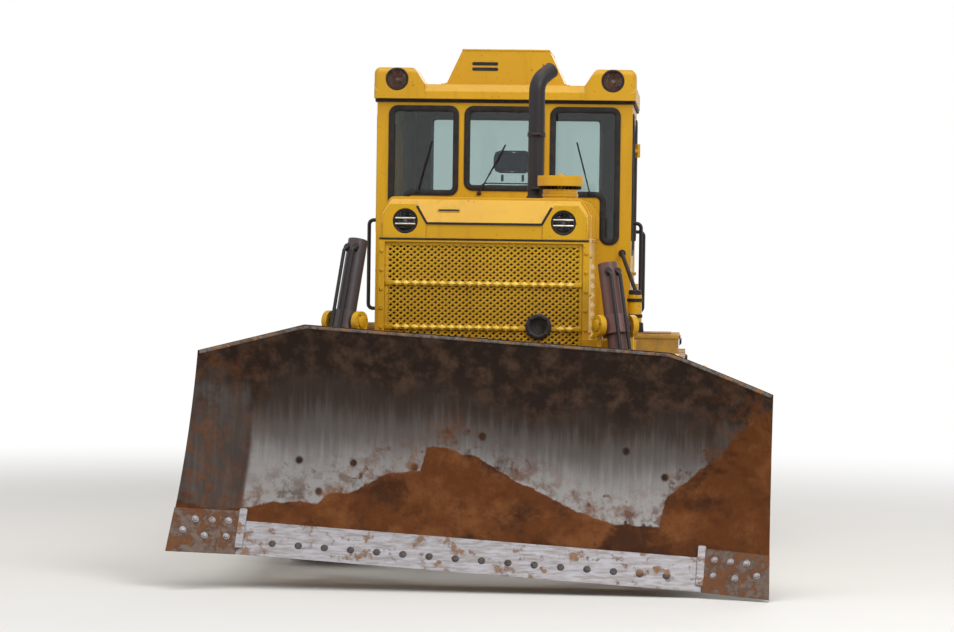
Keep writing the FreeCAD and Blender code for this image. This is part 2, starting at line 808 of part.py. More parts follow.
bend_mid = on_bend(bend_turn / 2)
bend_end = on_bend(bend_turn)
mouth = bend_end + (aim * math.sin(bend_turn) + up * math.cos(bend_turn)) * exhaust_mouth
stack_path = Part.Wire([
    Part.LineSegment(V(exhaust_x, exhaust_y, engine_top), bend_start).toShape(),
    Part.Arc(bend_start, bend_mid, bend_end).toShape(),
    Part.LineSegment(bend_end, mouth).toShape(),
])


def swept(path, radius):
    """A round solid carried along a path that starts straight up."""
    start = path.OrderedVertexes[0].Point
    ring = Part.Wire([Part.Circle(start, V(0, 0, 1), radius).toShape()])
    return path.makePipeShell([ring], True, False)


stack = swept(stack_path, exhaust_radius)
nodes["exhaust_stack"] = stack.cut(swept(stack_path, exhaust_radius - exhaust_wall))

# Air pre-cleaner on the hood
nodes["air_cleaner"] = joined([
    disc_z(cleaner_neck, cleaner_x, cleaner_y, hood_top, cleaner_neck_top),
    disc_z(cleaner_waist, cleaner_x, cleaner_y, cleaner_neck_top, cleaner_cap_low),
    disc_z(cleaner_cap, cleaner_x, cleaner_y, cleaner_cap_low, cleaner_cap_high),
])

# Fenders over the tracks, stepped down to the chassis
fender_out = track_x + shoe_width / 2
fender_low = fender_top - fender_plate
fender = joined([
    box(hood_half, fender_out, fender_front, cab_front, fender_low, fender_top),
    box(rail_x_out, fender_out, cab_front, fender_rear, fender_low, fender_top),
    box(rail_x_out, rail_x_out + fender_plate, cab_front, fender_rear, rail_top - fender_lap, fender_top),
    box(fender_out - fender_plate, fender_out, fender_front, fender_rear,
        fender_top - fender_skirt, fender_top),
])
both_sides("fender", fender)

# Cab floor on its four mounts
nodes["cab_floor"] = box(-cab_half, cab_half, cab_front, cab_rear, floor_low, floor_top)
nodes["cab_mounts"] = group([
    box(side * x - mount_half, side * x + mount_half, y - mount_half, y + mount_half, fender_top, floor_low)
    for x, y in mount_places for _, side in sides])


def softened(shape, direction, radius):
    """The shape with its edges along one direction rounded."""
    return shape.makeFillet(radius, [
        edge for edge in shape.Edges
        if edge.Curve.TypeId == "Part::GeomLine" and abs(edge.Curve.Direction.dot(direction)) > 0.999])


# Front wall: centre screen over the hood and two side screens that reach lower beside it
side_screen = [
    (side_screen_in, window_top), (side_screen_in, side_screen_bottom), (side_screen_leg, side_screen_bottom),
    (side_screen_leg, side_screen_low), (side_screen_out, side_screen_low), (side_screen_out, window_top),
]
screen = [(-screen_half, screen_bottom), (screen_half, screen_bottom), (screen_half, window_top),
          (-screen_half, window_top)]
front_wall = box(-cab_half, cab_half, cab_front, cab_front + cab_wall, floor_top, wall_top)
glass_y = cab_front + (cab_wall - glass_thick) / 2
glass = []
for opening in (screen, side_screen, [(-x, z) for x, z in side_screen]):
    through = softened(prism_y(opening, cab_front - 1, cab_front + cab_wall + 1), V(0, 1, 0), window_round)
    front_wall = front_wall.cut(through)
    glass.append(through.common(box(
        -cab_half, cab_half, glass_y, glass_y + glass_thick, floor_top, wall_top)))
nodes["cab_front_wall"] = front_wall

# Rear wall and its window
rear_wall = box(-cab_half, cab_half, cab_rear - cab_wall, cab_rear, floor_top, wall_top)
rear_cut = softened(
    box(-rear_window_half, rear_window_half, cab_rear - cab_wall - 1, cab_rear + 1,
        rear_window_low, window_top),
    V(0, 1, 0), window_round)
nodes["cab_rear_wall"] = rear_wall.cut(rear_cut)
glass_y = cab_rear - (cab_wall + glass_thick) / 2
glass.append(rear_cut.common(box(-cab_half, cab_half, glass_y, glass_y + glass_thick, floor_top, wall_top)))

# Side walls with the door opening, two quarter windows and the hinges' fixed halves
wall = box(cab_half - cab_wall, cab_half, cab_front + cab_wall, cab_rear - cab_wall, floor_top, wall_top)
wall = wall.cut(box(cab_half - cab_wall - 1, cab_half + 1, door_front, door_rear, door_low, door_high))
quarter_panes = []
glass_x = cab_half - (cab_wall + glass_thick) / 2
for y0, y1 in (quarter_front, quarter_rear):
    opening = softened(
        box(cab_half - cab_wall - 1, cab_half + 1, y0, y1, quarter_low, quarter_high),
        V(1, 0, 0), window_round)
    wall = wall.cut(opening)
    quarter_panes.append(opening.common(box(
        glass_x, glass_x + glass_thick, cab_front, cab_rear, floor_top, wall_top)))
hinge_x = cab_half + hinge_out
hinge_y = door_rear + hinge_back
knuckle = hinge_height / 3
fixed_halves = [wall]
for level in hinge_levels:
    low = level - hinge_height / 2
    for z0 in (low, low + 2 * knuckle + 1):
        leaf = box(cab_half, cab_half + hinge_leaf, hinge_y, hinge_y + 55, z0, z0 + knuckle - 1)
        web = box(cab_half, hinge_x, hinge_y, hinge_y + hinge_leaf, z0, z0 + knuckle - 1)
        fixed_halves += [leaf, web, disc_z(hinge_radius, hinge_x, hinge_y, z0, z0 + knuckle - 1)]
    fixed_halves.append(disc_z(hinge_pin, hinge_x, hinge_y, low, low + hinge_height))
both_sides("cab_side", joined(fixed_halves))
nodes["cab_glass"] = group(glass + quarter_panes + [mirrored(pane) for pane in quarter_panes])

# Doors, hung at their rear edge
door_x0 = cab_half - door_thick - 4
door_x1 = cab_half - 4
leaf_front = door_front + door_gap
leaf_rear = door_rear - door_gap
leaf_low = door_low + door_gap
leaf_high = door_high - door_gap
door = box(door_x0, door_x1, leaf_front, leaf_rear, leaf_low, leaf_high)
door_opening = softened(
    box(door_x0 - 1, door_x1 + 1, leaf_front + door_frame, leaf_rear - door_frame,
        door_sill, leaf_high - door_frame),
    V(1, 0, 0), window_round)
door = door.cut(door_opening)
door_parts = [door]
for level in hinge_levels:
    z0 = level - hinge_height / 2 + knuckle + 0.5
    z1 = z0 + knuckle - 1
    leaf = box(door_x1, door_x1 + hinge_leaf + 4, leaf_rear - 90, leaf_rear, z0, z1)
    web = box(door_x1 + 4, hinge_x, leaf_rear - 30, leaf_rear - 30 + hinge_leaf, z0, z1)
    web = web.fuse(box(hinge_x - hinge_leaf, hinge_x, leaf_rear - 30, hinge_y, z0, z1))
    ear = joined([leaf, web, disc_z(hinge_radius, hinge_x, hinge_y, z0, z1)])
    door_parts.append(ear.cut(disc_z(hinge_pin + running_fit, hinge_x, hinge_y, z0 - 1, z1 + 1)))
handle_z = door_sill - handle_drop
handle_front = leaf_front + handle_inset
for foot_y in (handle_front, handle_front + handle_length - handle_foot):
    door_parts.append(box(
        door_x1, door_x1 + handle_reach, foot_y, foot_y + handle_foot, handle_z, handle_z + handle_height))
grip_x = door_x1 + handle_reach - handle_thick
door_parts.append(box(
    grip_x, grip_x + handle_thick, handle_front, handle_front + handle_length,
    handle_z, handle_z + handle_height))
both_sides("door", joined(door_parts))
door_glass_x = (door_x0 + door_x1 - glass_thick) / 2
both_sides("door_glass", door_opening.common(
    box(door_glass_x, door_glass_x + glass_thick, cab_front, cab_rear, floor_top, wall_top)))

# Roof with raised lamp corners in front, and the ventilation unit on it
roof_line = [(roof_front, wall_top), (roof_rear, wall_top), (roof_rear, roof_deck),
             (roof_front + crease_run, roof_deck), (roof_front, crease_z)]
roof = softened(prism_x(roof_line, -roof_half, roof_half), up, roof_round)
hump_line = [(hump_foot, crease_z), (hump_foot, roof_deck), (hump_in, hump_top), (roof_half, hump_top),
             (roof_half, crease_z)]
hump = prism_y(hump_line, roof_front, hump_rear)
hump = hump.makeFillet(hump_round, [
    edge for edge in hump.Edges
    if edge.BoundBox.ZMin > hump_top - 1
    or (edge.BoundBox.XMin > roof_half - 1 and edge.BoundBox.ZLength > 50)])
nodes["cab_roof"] = joined([roof, hump, mirrored(hump)])
for x in (-roof_lamp_x, roof_lamp_x):
    recess = disc_y(lamp_radius + seat_gap, x, roof_front - 5, roof_front + lamp_depth, roof_lamp_z)
    nodes["cab_roof"] = nodes["cab_roof"].cut(recess)
nodes["roof_lamps"] = group([
    disc_y(lamp_radius, x, roof_front + lamp_sunk, roof_front + lamp_depth, roof_lamp_z)
    for x in (-roof_lamp_x, roof_lamp_x)])
vent_line = [
    (-vent_base, roof_deck), (vent_base, roof_deck), (vent_crown, vent_top), (-vent_crown, vent_top)]
nodes["roof_vent"] = prism_y(vent_line, vent_front, vent_rear)

# Operator's place: pedestal, cushions, consoles with levers, dash
cushion = box(
    -seat_half, seat_half, seat_y - seat_length / 2, seat_y + seat_length / 2, seat_low + seat_gap, seat_top)
back_y = seat_y + seat_length / 2
backrest = box(-seat_half, seat_half, back_y - back_thick, back_y, seat_top + seat_gap, back_top)
head_y = back_y - back_thick / 2
headrest = box(
    -head_half, head_half, head_y - head_thick / 2, head_y + head_thick / 2, head_low + seat_gap, head_top)
nodes["seat_cushions"] = group([cushion, backrest, headrest])
pedestal = box(
    -pedestal_half, pedestal_half, seat_y - pedestal_depth, seat_y + pedestal_depth, floor_top, seat_low)
head_posts = [disc_z(head_post_radius, x, head_y, back_top, head_low) for x in (-head_post_x, head_post_x)]
nodes["seat_pedestal"] = group([pedestal] + head_posts)
console = box(
    armrest_x - arm_half_width, armrest_x + arm_half_width, seat_y - console_front, seat_y + console_rear,
    floor_top, armrest_top)
lever_foot = V(armrest_x, seat_y - console_front + lever_inset, armrest_top)
lever_head = V(armrest_x - lever_lean, seat_y - console_front + lever_inset - lever_rake, lever_top)
lever = bar(lever_foot, lever_head, lever_radius)
lever = lever.fuse(Part.makeSphere(lever_radius * 2, lever_head))
pair("consoles", joined([console, lever]))
dash_back = cab_front + cab_wall
nodes["dash"] = box(-dash_half, dash_half, dash_back, dash_back + dash_depth, floor_top, dash_top)

# Fuel tank behind the cab, on feet that stand on the rear case and fenders
tank = box(-tank_half, tank_half, tank_front, tank_rear, rear_case_top, tank_top)
tank = tank.makeFillet(tank_round, [edge for edge in tank.Edges if edge.BoundBox.XLength < 1])
tank = tank.cut(box(
    -tank_half - 1, tank_half + 1, tank_front - 1, fender_rear, rear_case_top - 1, fender_top))
nodes["fuel_tank"] = tank

# Boxes on the fenders and the canister on the left one
x0, x1, y0, y1, z1 = battery_box
fender_boxes = [box(x0, x1, y0, y1, fender_top, z1)]
nodes["canister"] = joined([
    disc_z(canister_radius - 10, canister_x, canister_y, z1, z1 + canister_foot),
    disc_z(canister_radius, canister_x, canister_y, z1 + canister_foot, canister_top),
    disc_z(canister_radius - 12, canister_x, canister_y, canister_top, canister_cap),
])
x0, x1, y0, y1, z1 = tool_box
fender_boxes.append(box(-x1, -x0, y0, y1, fender_top, z1))
nodes["fender_boxes"] = group(fender_boxes)

# Blade. Its sheet: a straight bevel at the foot, then an arc up to the top
bevel_run = bevel_height * math.tan(math.radians(bevel_angle))
wing_out = V(math.cos(math.radians(wing_angle)), -math.sin(math.radians(wing_angle)), 0)
wing_span = (wing_width + clear_reach) / wing_out.x


def sheet_face(x, front, back):
    """The blade's section between two depths behind its working face."""
    def line(depth, z_low):
        low_y = blade_tip_y + z_low * math.tan(math.radians(bevel_angle)) + depth
        foot = V(x, low_y, z_low)
        knee = V(x, blade_tip_y + bevel_run + depth, bevel_height)
        middle = V(x, bowl_y + depth, bowl_z)
        top = V(x, top_y + depth, blade_height)
        return foot, knee, middle, top
    a, b, c, d = line(front, sheet_low)
    e, f, g, h = line(back, sheet_low)
    edges = [
        Part.LineSegment(a, b).toShape(), Part.Arc(b, c, d).toShape(), Part.LineSegment(d, h).toShape(),
        Part.Arc(h, g, f).toShape(), Part.LineSegment(f, e).toShape(), Part.LineSegment(e, a).toShape(),
    ]
    return Part.Face(Part.Wire(edges))


def blade_band(front, back):
    """That section carried across the middle and out along both folded wings."""
    middle = sheet_face(-fold_x, front, back).extrude(V(2 * fold_x, 0, 0))
    wing = sheet_face(fold_x, front, back).extrude(wing_out * wing_span)
    return joined([middle, wing, mirrored(wing)])


outline_half = [
    (blade_low_half, 0.0), (blade_corner_half, blade_corner_z), (blade_top_half, blade_height)]
blade_outline = outline_half + [(-x, z) for x, z in reversed(outline_half)]
blade_window = prism_y(blade_outline, blade_tip_y - clear_reach, back_plane_y + clear_reach)
moldboard = blade_band(0.0, blade_sheet).common(blade_window)

# Cutting edge along the middle and end bits on the wings, both in front of the sheet
slope = V(0, math.sin(math.radians(bevel_angle)), math.cos(math.radians(bevel_angle)))
normal = V(0, -math.cos(math.radians(bevel_angle)), math.sin(math.radians(bevel_angle)))


def edge_face(x, height, thick):
    """A flat bar's section that lies on the bevel, with its foot at the blade's tip."""
    foot = V(x, blade_tip_y, 0)
    points = [foot, foot + slope * height, foot + slope * height + normal * thick]
    points.append(V(x, blade_tip_y - thick / math.cos(math.radians(bevel_angle)), 0))
    return face(points)


cutting_edge = edge_face(-fold_x, edge_height, edge_thick).extrude(V(2 * fold_x, 0, 0))
bit = edge_face(fold_x, bit_height, bit_thick).extrude(wing_out * wing_span).common(blade_window)

# Ribs and shelves behind the sheet
behind = blade_band(blade_sheet, blade_sheet + behind_depth)
back_front = blade_tip_y - clear_reach
back_block = box(-fold_x, fold_x, back_front, back_plane_y, back_low, blade_height - rim_show)
back_block = back_block.common(behind)
stiffeners = []
for x in [side * rib_x for rib_x in blade_ribs for side in (-1, 1)]:
    stiffeners.append(box(x - rib_thick / 2, x + rib_thick / 2, back_front, 0, 0, blade_height))
for z in blade_shelves:
    stiffeners.append(box(-fold_x, fold_x, back_front, 0, z, z + rib_thick))
stiffeners.append(box(-fold_x, fold_x, back_plane_y - rib_thick, 0, blade_shelves[0], blade_shelves[1]))
stiffeners.append(box(-fold_x, fold_x, back_plane_y - rib_thick, 0, blade_shelves[2], blade_shelves[3]))
blade_back = joined(stiffeners).common(back_block).common(blade_window)

# Lugs for the lift rods, on the blade's back
lug_gap = eye_half + eye_side_play
lug_bore_half = lug_gap + lug_plate_thick + 1
lug_parts = []
for side in (-1, 1):
    for x0 in (-lug_gap - lug_plate_thick, lug_gap):
        middle = side * eye_x
        ear = disc_x(lug_radius, middle + x0, middle + x0 + lug_plate_thick, eye_y, eye_z)
        root = box(middle + x0, middle + x0 + lug_plate_thick, back_plane_y, eye_y, eye_z - lug_radius,
                   eye_z + lug_radius)
        lug_bore = disc_x(
            eye_pin + eye_pin_play, middle - lug_bore_half, middle + lug_bore_half, eye_y, eye_z)
        lug_parts.append(ear.fuse(root).cut(lug_bore).common(
            box(-blade_low_half, blade_low_half, back_plane_y, 0, 0, blade_height)))
blade_back = joined([blade_back] + lug_parts)


def placed_blade(shape):
    """Tilts a blade piece about its lower edge's middle and lifts it to its rest height."""
    moved = shape.copy()
    moved.rotate(V(0, 0, 0), V(0, 1, 0), blade_tilt)
    moved.translate(V(0, 0, blade_raise))
    return moved


def placed_point(point):
    """The same move for a point."""
    turn = math.radians(blade_tilt)
    return V(point.x * math.cos(turn) + point.z * math.sin(turn), point.y,
             -point.x * math.sin(turn) + point.z * math.cos(turn) + blade_raise)


nodes["moldboard"] = placed_blade(moldboard)
nodes["cutting_edge"] = placed_blade(cutting_edge)
nodes["end_bits"] = group([placed_blade(bit), placed_blade(mirrored(bit))])
nodes["blade_back"] = placed_blade(blade_back)

# Push arms outside the tracks, screw braces above them and stays to the blade's middle
braces, stays = [], []
blade_reach = blade_low_half + clear_reach
blade_space = placed_blade(box(
    -blade_reach, blade_reach, back_front, back_plane_y, -clear_reach, blade_height + clear_reach))
for name, side in sides:
    arm_x = side * (arm_in + arm_out) / 2
    head = placed_point(V(arm_x, arm_end_y, arm_end_z))
    lean = math.atan2(head.z - trunnion_z, trunnion_y - head.y)
    half = arm_deep / 2
    along = V(0, -math.cos(lean), math.sin(lean))
    across = V(0, math.sin(lean), math.cos(lean))
    root = V(0, trunnion_y, trunnion_z)
    tip = V(0, head.y, head.z)
    shoulder = root + along * arm_taper
    corners = [root + across * (half * 0.6), shoulder + across * half, tip + across * half,
               tip - across * half, shoulder - across * half, root - across * (half * 0.6)]
    x_in, x_out = sorted((side * arm_in, side * arm_out))
    beam = prism_x([(p.y, p.z) for p in corners], x_in, x_out)
    ring = disc_x(trunnion_ring, x_in, x_out, trunnion_y, trunnion_z)
    bearing = disc_x(trunnion_pin + running_fit, x_in - 9, x_out + 9, trunnion_y, trunnion_z)
    arm = joined([beam, ring]).cut(bearing)
    arm = arm.cut(blade_space)
    foot_place = root + along * (trunnion_y - brace_foot_y)
    foot = V(arm_x, foot_place.y, foot_place.z) + across * (half - 10)
    top = placed_point(V(side * (fold_x - 60), back_plane_y + 45, brace_head_z))
    brace = joined([
        bar(foot, top, brace_radius),
        bar(foot + (top - foot) * 0.3, foot + (top - foot) * 0.62, brace_radius + brace_sleeve),
        disc_x(brace_radius + brace_eye, arm_x - brace_eye_half, arm_x + brace_eye_half, foot.y, foot.z),
        disc_x(brace_radius + brace_eye, top.x - brace_eye_half, top.x + brace_eye_half, top.y, top.z)])
    braces.append(brace.cut(beam).cut(blade_space))
    stay_foot_place = root + along * (trunnion_y - stay_foot_y)
    stay_foot = V(side * arm_in, stay_foot_place.y, stay_foot_place.z)
    stay_top = placed_point(V(side * stay_head_x, back_plane_y + 40, arm_end_z - 20))
    stay = joined([bar(stay_foot + V(side * 30, 0, 0), stay_top, stay_radius),
                   Part.makeSphere(stay_radius + 14, stay_top)])
    stays.append(stay.cut(beam).cut(blade_space))
    nodes["push_arm_" + name] = arm
nodes["blade_braces"] = group(braces)
nodes["blade_stays"] = group(stays)


def lifted(point, turn):
    """A point of the blade after the arms have turned up by so many radians."""
    y, z = point.y - trunnion_y, point.z - trunnion_z
    return V(point.x, trunnion_y + y * math.cos(turn) + z * math.sin(turn),
             trunnion_z - y * math.sin(turn) + z * math.cos(turn))


# Lift cylinders: barrels that swing in yokes on the radiator guard, rods down to the blade
joint_lines = []
yokes = []
for name, side in sides:
    pivot = V(side * cylinder_x, cylinder_y, cylinder_z)
    eye = placed_point(V(side * eye_x, eye_y, eye_z))
    toe = math.radians(cylinder_toe)
    axis = V(math.cos(toe), side * math.sin(toe), 0)
    reach = eye - pivot
    closed = reach.Length
    down = reach / closed
    steps = [math.radians(lift_low + (lift_high - lift_low) * k / 18) for k in range(19)]
    lengths = [(lifted(eye, turn) - pivot).Length for turn in steps]
    stroke = max(lengths) - min(lengths)

    def swing(turn):
        """How far the barrel turns about its hinge line for one lift of the arms."""
        flat_now = lifted(eye, turn) - pivot
        flat_now = flat_now - axis * flat_now.dot(axis)
        flat_rest = reach - axis * reach.dot(axis)
        return math.atan2(flat_rest.cross(flat_now).dot(axis), flat_rest.dot(flat_now))

    square = sum(turn * turn for turn in steps)
    swing_ratio = sum(turn * swing(turn) for turn in steps) / square
    slide_ratio = sum(turn * (length - closed) for turn, length in zip(steps, lengths)) / square
    shortest = closed + slide_ratio * math.radians(lift_high)
    longest = closed + slide_ratio * math.radians(lift_low)
    barrel_low = shortest - eye_radius - barrel_stop
    rod_top = closed - (longest - barrel_low) - rod_overlap
    barrel_top = rod_top - (closed - shortest) - barrel_end
    barrel_start = pivot + down * barrel_top
    barrel_end_point = pivot + down * barrel_low
    barrel = bar(barrel_start, barrel_end_point, barrel_radius)
    gland = bar(barrel_end_point - down * gland_length, barrel_end_point, barrel_radius + 8)
    bore_start = barrel_start + down * (barrel_end - 12)
    bore = bar(bore_start, barrel_end_point - down * gland_length, barrel_bore)
    throat = bar(bore_start, barrel_end_point + down * 5, rod_radius + slide_fit)
    collar = bar(pivot - down * collar_half, pivot + down * collar_half, collar_radius)
    stub_end = collar_radius + stub_length
    stubs = bar(pivot - axis * stub_end, pivot + axis * stub_end, stub_radius)
    nodes["lift_barrel_" + name] = joined([barrel, gland, collar, stubs]).cut(bore).cut(throat)
    rod_start = pivot + down * rod_top
    rod = bar(rod_start, eye, rod_radius)
    piston = bar(rod_start, rod_start + down * 40, barrel_bore - slide_fit)
    pin_half = lug_gap + lug_plate_thick + pin_play + pin_head
    eye_axis = V(1, 0, 0)
    ring = bar(eye - eye_axis * eye_half, eye + eye_axis * eye_half, eye_radius)
    pin = bar(eye - eye_axis * pin_half, eye + eye_axis * pin_half, eye_pin)
    head_in = pin_half - pin_head
    heads = [bar(eye + eye_axis * (end * head_in), eye + eye_axis * (end * pin_half), pin_head_radius)
             for end in (-1, 1)]
    nodes["lift_rod_" + name] = joined([rod, piston, ring, pin] + heads)
    ears = []
    for end in (-1, 1):
        first = pivot + axis * (end * (collar_radius + yoke_gap))
        last = pivot + axis * (end * (collar_radius + yoke_gap + yoke_plate))
        ears.append(bar(first, last, yoke_radius))
        low, high = sorted((first.x, last.x))
        ears.append(box(
            low + 3, high - 3, cylinder_y - 10, guard_front, cylinder_z - ear_drop, cylinder_z - 10))
    x_low, x_high = sorted((side * (guard_half - guard_wall), pivot.x + side * (collar_radius + yoke_plate)))
    pad_top = cylinder_z - yoke_pad_drop
    ears.append(box(x_low, x_high, guard_front - yoke_pad, guard_front, pad_top - yoke_pad_height, pad_top))
    yoke = joined(ears)
    collar_space = collar_radius + yoke_gap - 1
    for cut_radius, reach_out in ((stub_radius + running_fit, cut_past), (collar_space, collar_space + 0.5)):
        yoke = yoke.cut(bar(pivot - axis * reach_out, pivot + axis * reach_out, cut_radius))
    yokes.append(yoke)
    drift = 0.0
    for turn in steps:
        swung = FreeCAD.Rotation(axis, math.degrees(swing_ratio * turn)).multVec(down)
        drift = max(drift, (pivot + swung * (closed + slide_ratio * turn) - lifted(eye, turn)).Length)
    joint_lines.append(("lift_barrel_" + name, pivot, axis, swing_ratio, drift))
    joint_lines.append(("lift_rod_" + name, eye, down, slide_ratio, stroke))

nodes["cylinder_yokes"] = group(yokes)

# The whole machine moves so that the origin lies under the middle of its length
whole = Part.makeCompound([nodes["moldboard"], nodes["cutting_edge"], nodes["drawbar"], nodes["roof_vent"],
                           nodes["end_bits"], nodes["track_left"]]).optimalBoundingBox()
shift = V(0, -(whole.YMin + whole.YMax) / 2, 0)
for name, shape in nodes.items():
    placed = shape.copy()
    placed.translate(shift)
    placed.exportStep("parts/" + name + ".step")

print("SHIFT", shift.y)
print("SIZE", whole.XMin, whole.XMax, whole.YMin + shift.y, whole.YMax + shift.y, whole.ZMin, whole.ZMax)
print("JOINT blade_lift", 0.0, trunnion_y + shift.y, trunnion_z, -1, 0, 0, lift_low, lift_high)
for name, side in sides:
    print("JOINT door_" + name, side * hinge_x, hinge_y + shift.y, floor_top, 0, 0, side, 0, 100)
for name, place, axis, ratio, extra in joint_lines:
    print("JOINT", name, place.x, place.y + shift.y, place.z, axis.x, axis.y, axis.z, ratio, extra)
print("DRAWBAR", 0.0, drawbar_rear - drawbar_half + shift.y, drawbar_low + drawbar_thick / 2)
print("FLANGE", flange_back + shift.y, ripper_middle_z)
for name in sorted(nodes):
    shape = nodes[name]
    print("NODE", name, len(shape.Solids), round(shape.Volume / 1e9, 5), shape.isValid())
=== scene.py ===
"""Looks of a crawler bulldozer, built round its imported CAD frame.

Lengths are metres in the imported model's frame: X to the machine's left, Y to its
rear, Z up. Depths along Y are written from the machine's own zero line, midway
between sprocket and idler, and Datum moves them into the frame.
"""

from __future__ import annotations

import json
import logging
from dataclasses import dataclass, field
from enum import Enum
from math import acos, atan2, copysign, cos, hypot, pi, radians, sin, sqrt, tan
from typing import Iterable, Sequence

import bpy
import numpy as np
from mathutils import Matrix, Vector

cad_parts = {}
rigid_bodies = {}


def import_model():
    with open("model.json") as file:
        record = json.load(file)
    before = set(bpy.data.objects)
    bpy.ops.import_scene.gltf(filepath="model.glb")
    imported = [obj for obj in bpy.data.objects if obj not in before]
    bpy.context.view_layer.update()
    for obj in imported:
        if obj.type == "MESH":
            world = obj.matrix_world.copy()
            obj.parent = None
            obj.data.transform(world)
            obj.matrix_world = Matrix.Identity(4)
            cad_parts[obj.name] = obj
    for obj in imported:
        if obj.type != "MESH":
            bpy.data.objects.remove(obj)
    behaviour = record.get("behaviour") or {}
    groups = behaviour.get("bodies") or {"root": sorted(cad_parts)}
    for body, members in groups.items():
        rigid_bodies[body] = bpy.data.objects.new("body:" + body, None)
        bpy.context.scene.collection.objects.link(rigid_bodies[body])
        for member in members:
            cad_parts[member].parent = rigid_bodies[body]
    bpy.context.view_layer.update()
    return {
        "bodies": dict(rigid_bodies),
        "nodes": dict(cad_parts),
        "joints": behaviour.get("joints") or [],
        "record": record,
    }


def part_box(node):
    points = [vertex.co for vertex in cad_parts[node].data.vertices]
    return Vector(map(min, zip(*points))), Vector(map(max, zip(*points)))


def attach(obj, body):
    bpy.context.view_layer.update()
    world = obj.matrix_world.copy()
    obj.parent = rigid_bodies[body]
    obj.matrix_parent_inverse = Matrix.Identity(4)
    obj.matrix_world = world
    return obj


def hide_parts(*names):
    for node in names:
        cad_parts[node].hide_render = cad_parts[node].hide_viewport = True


Array = np.ndarray
Colour = tuple[float, float, float]
Point = tuple[float, float, float]
LEFT, AHEAD, BACK = (1, 0, 0), (0, -1, 0), (0, 1, 0)
Numbers = Sequence[float]
Places = Sequence[Numbers]
Material = bpy.types.Material
Pairs = tuple[tuple[float, float], ...]
Socket = bpy.types.NodeSocket
log = logging.getLogger("bulldozer")


def colour(red: int, green: int, blue: int) -> Colour:
    """Turns display values from 0 to 255 into the shader's linear values.

    Args:
        red, green, blue: the shade as a screen shows it.

    Returns:
        The same shade with the display curve taken off.
    """
    shown = np.array([red, green, blue]) / 255.0
    plain = np.where(shown <= 0.04045, shown / 12.92, ((shown + 0.055) / 1.055) ** 2.4)
    return tuple(float(value) for value in plain)


# Shapes as arrays


@dataclass
class Shape:
    """A surface: points, faces of four and three corners, and values kept per point."""

    points: Array
    quads: Array = field(default_factory=lambda: np.zeros((0, 4), int))
    tris: Array = field(default_factory=lambda: np.zeros((0, 3), int))
    marks: dict[str, Array] = field(default_factory=dict)

    def moved(self, matrix: Array) -> "Shape":
        """The shape after a 4 by 4 move; a mirroring move turns its faces back out.

        Args:
            matrix: the move, acting on column vectors.

        Returns:
            A new shape.
        """
        points = self.points @ matrix[:3, :3].T + matrix[:3, 3]
        flip = np.linalg.det(matrix[:3, :3]) < 0
        quads = self.quads[:, ::-1] if flip else self.quads
        tris = self.tris[:, ::-1] if flip else self.tris
        return Shape(points, quads, tris, self.marks)

    def on(self, origin: Numbers, normal: Numbers, up: Numbers = (0, 0, 1)) -> "Shape":
        """The shape laid at a point, with its Z along a normal."""
        return self.moved(facing(origin, normal, up))

    def on_each(self, places: Places, normal: Numbers) -> "Shape":
        """A copy at each place, with its Z along one normal."""
        return self.repeated([facing(place, normal) for place in places])

    def shifted(self, x: float = 0.0, y: float = 0.0, z: float = 0.0) -> "Shape":
        """The shape moved by x, y and z."""
        return self.moved(shift(x, y, z))

    def mirrored(self) -> "Shape":
        """The shape on the machine's other side."""
        return self.moved(np.diag([-1.0, 1.0, 1.0, 1.0]))

    def to_side(self, side: int) -> "Shape":
        """The shape itself for 1, and its mirror image for -1."""
        return self if side > 0 else self.mirrored()

    def both_sides(self) -> "Shape":
        """The shape and its mirror image."""
        return join([self, self.mirrored()])

    def repeated(self, matrices: Sequence[Array]) -> "Shape":
        """One copy of the shape for each move."""
        return join([self.moved(matrix) for matrix in matrices])

    def outward(self) -> "Shape":
        """The closed shape with its faces turned out, by the sign of its volume.

        Returns:
            The shape itself, or the shape with every face turned round.
        """
        corners = np.concatenate([self.tris, self.quads[:, [0, 1, 2]], self.quads[:, [0, 2, 3]]])
        a, b, c = (self.points[corners[:, k]] for k in range(3))
        volume = np.einsum("ij,ij->", a, np.cross(b, c))
        if volume >= 0:
            return self
        return Shape(self.points, self.quads[:, ::-1], self.tris[:, ::-1], self.marks)

    def marked(self, **values: float | Array) -> "Shape":
        """The shape with values kept per point under these names."""
        size = len(self.points)
        marks = {name: np.broadcast_to(value, size).astype(float) for name, value in values.items()}
        return Shape(self.points, self.quads, self.tris, {**self.marks, **marks})


def join(shapes: Iterable[Shape]) -> Shape:
    """Puts several shapes into one; a value that a shape lacks counts as zero.

    Args:
        shapes: the shapes, which may touch or not.

    Returns:
        One shape with all their points and faces.
    """
    shapes = list(shapes)
    starts = np.cumsum([0] + [len(shape.points) for shape in shapes[:-1]])
    names = {name for shape in shapes for name in shape.marks}
    marks = {
        name: np.concatenate([shape.marks.get(name, np.zeros(len(shape.points))) for shape in shapes])
        for name in names
    }
    return Shape(
        np.concatenate([shape.points for shape in shapes]),
        np.concatenate([shape.quads + start for shape, start in zip(shapes, starts)]),
        np.concatenate([shape.tris + start for shape, start in zip(shapes, starts)]),
        marks,
    )


def shift(x: float = 0.0, y: float = 0.0, z: float = 0.0) -> Array:
    """The 4 by 4 move by x, y and z."""
    matrix = np.eye(4)
    matrix[:3, 3] = (x, y, z)
    return matrix


def unit(vector: Numbers) -> Array:
    """The vector at length one."""
    vector = np.asarray(vector, float)
    return vector / np.linalg.norm(vector)


def unit_rows(rows: Array) -> Array:
    """Every row made one long."""
    return rows / np.linalg.norm(rows, axis=1)[:, None]


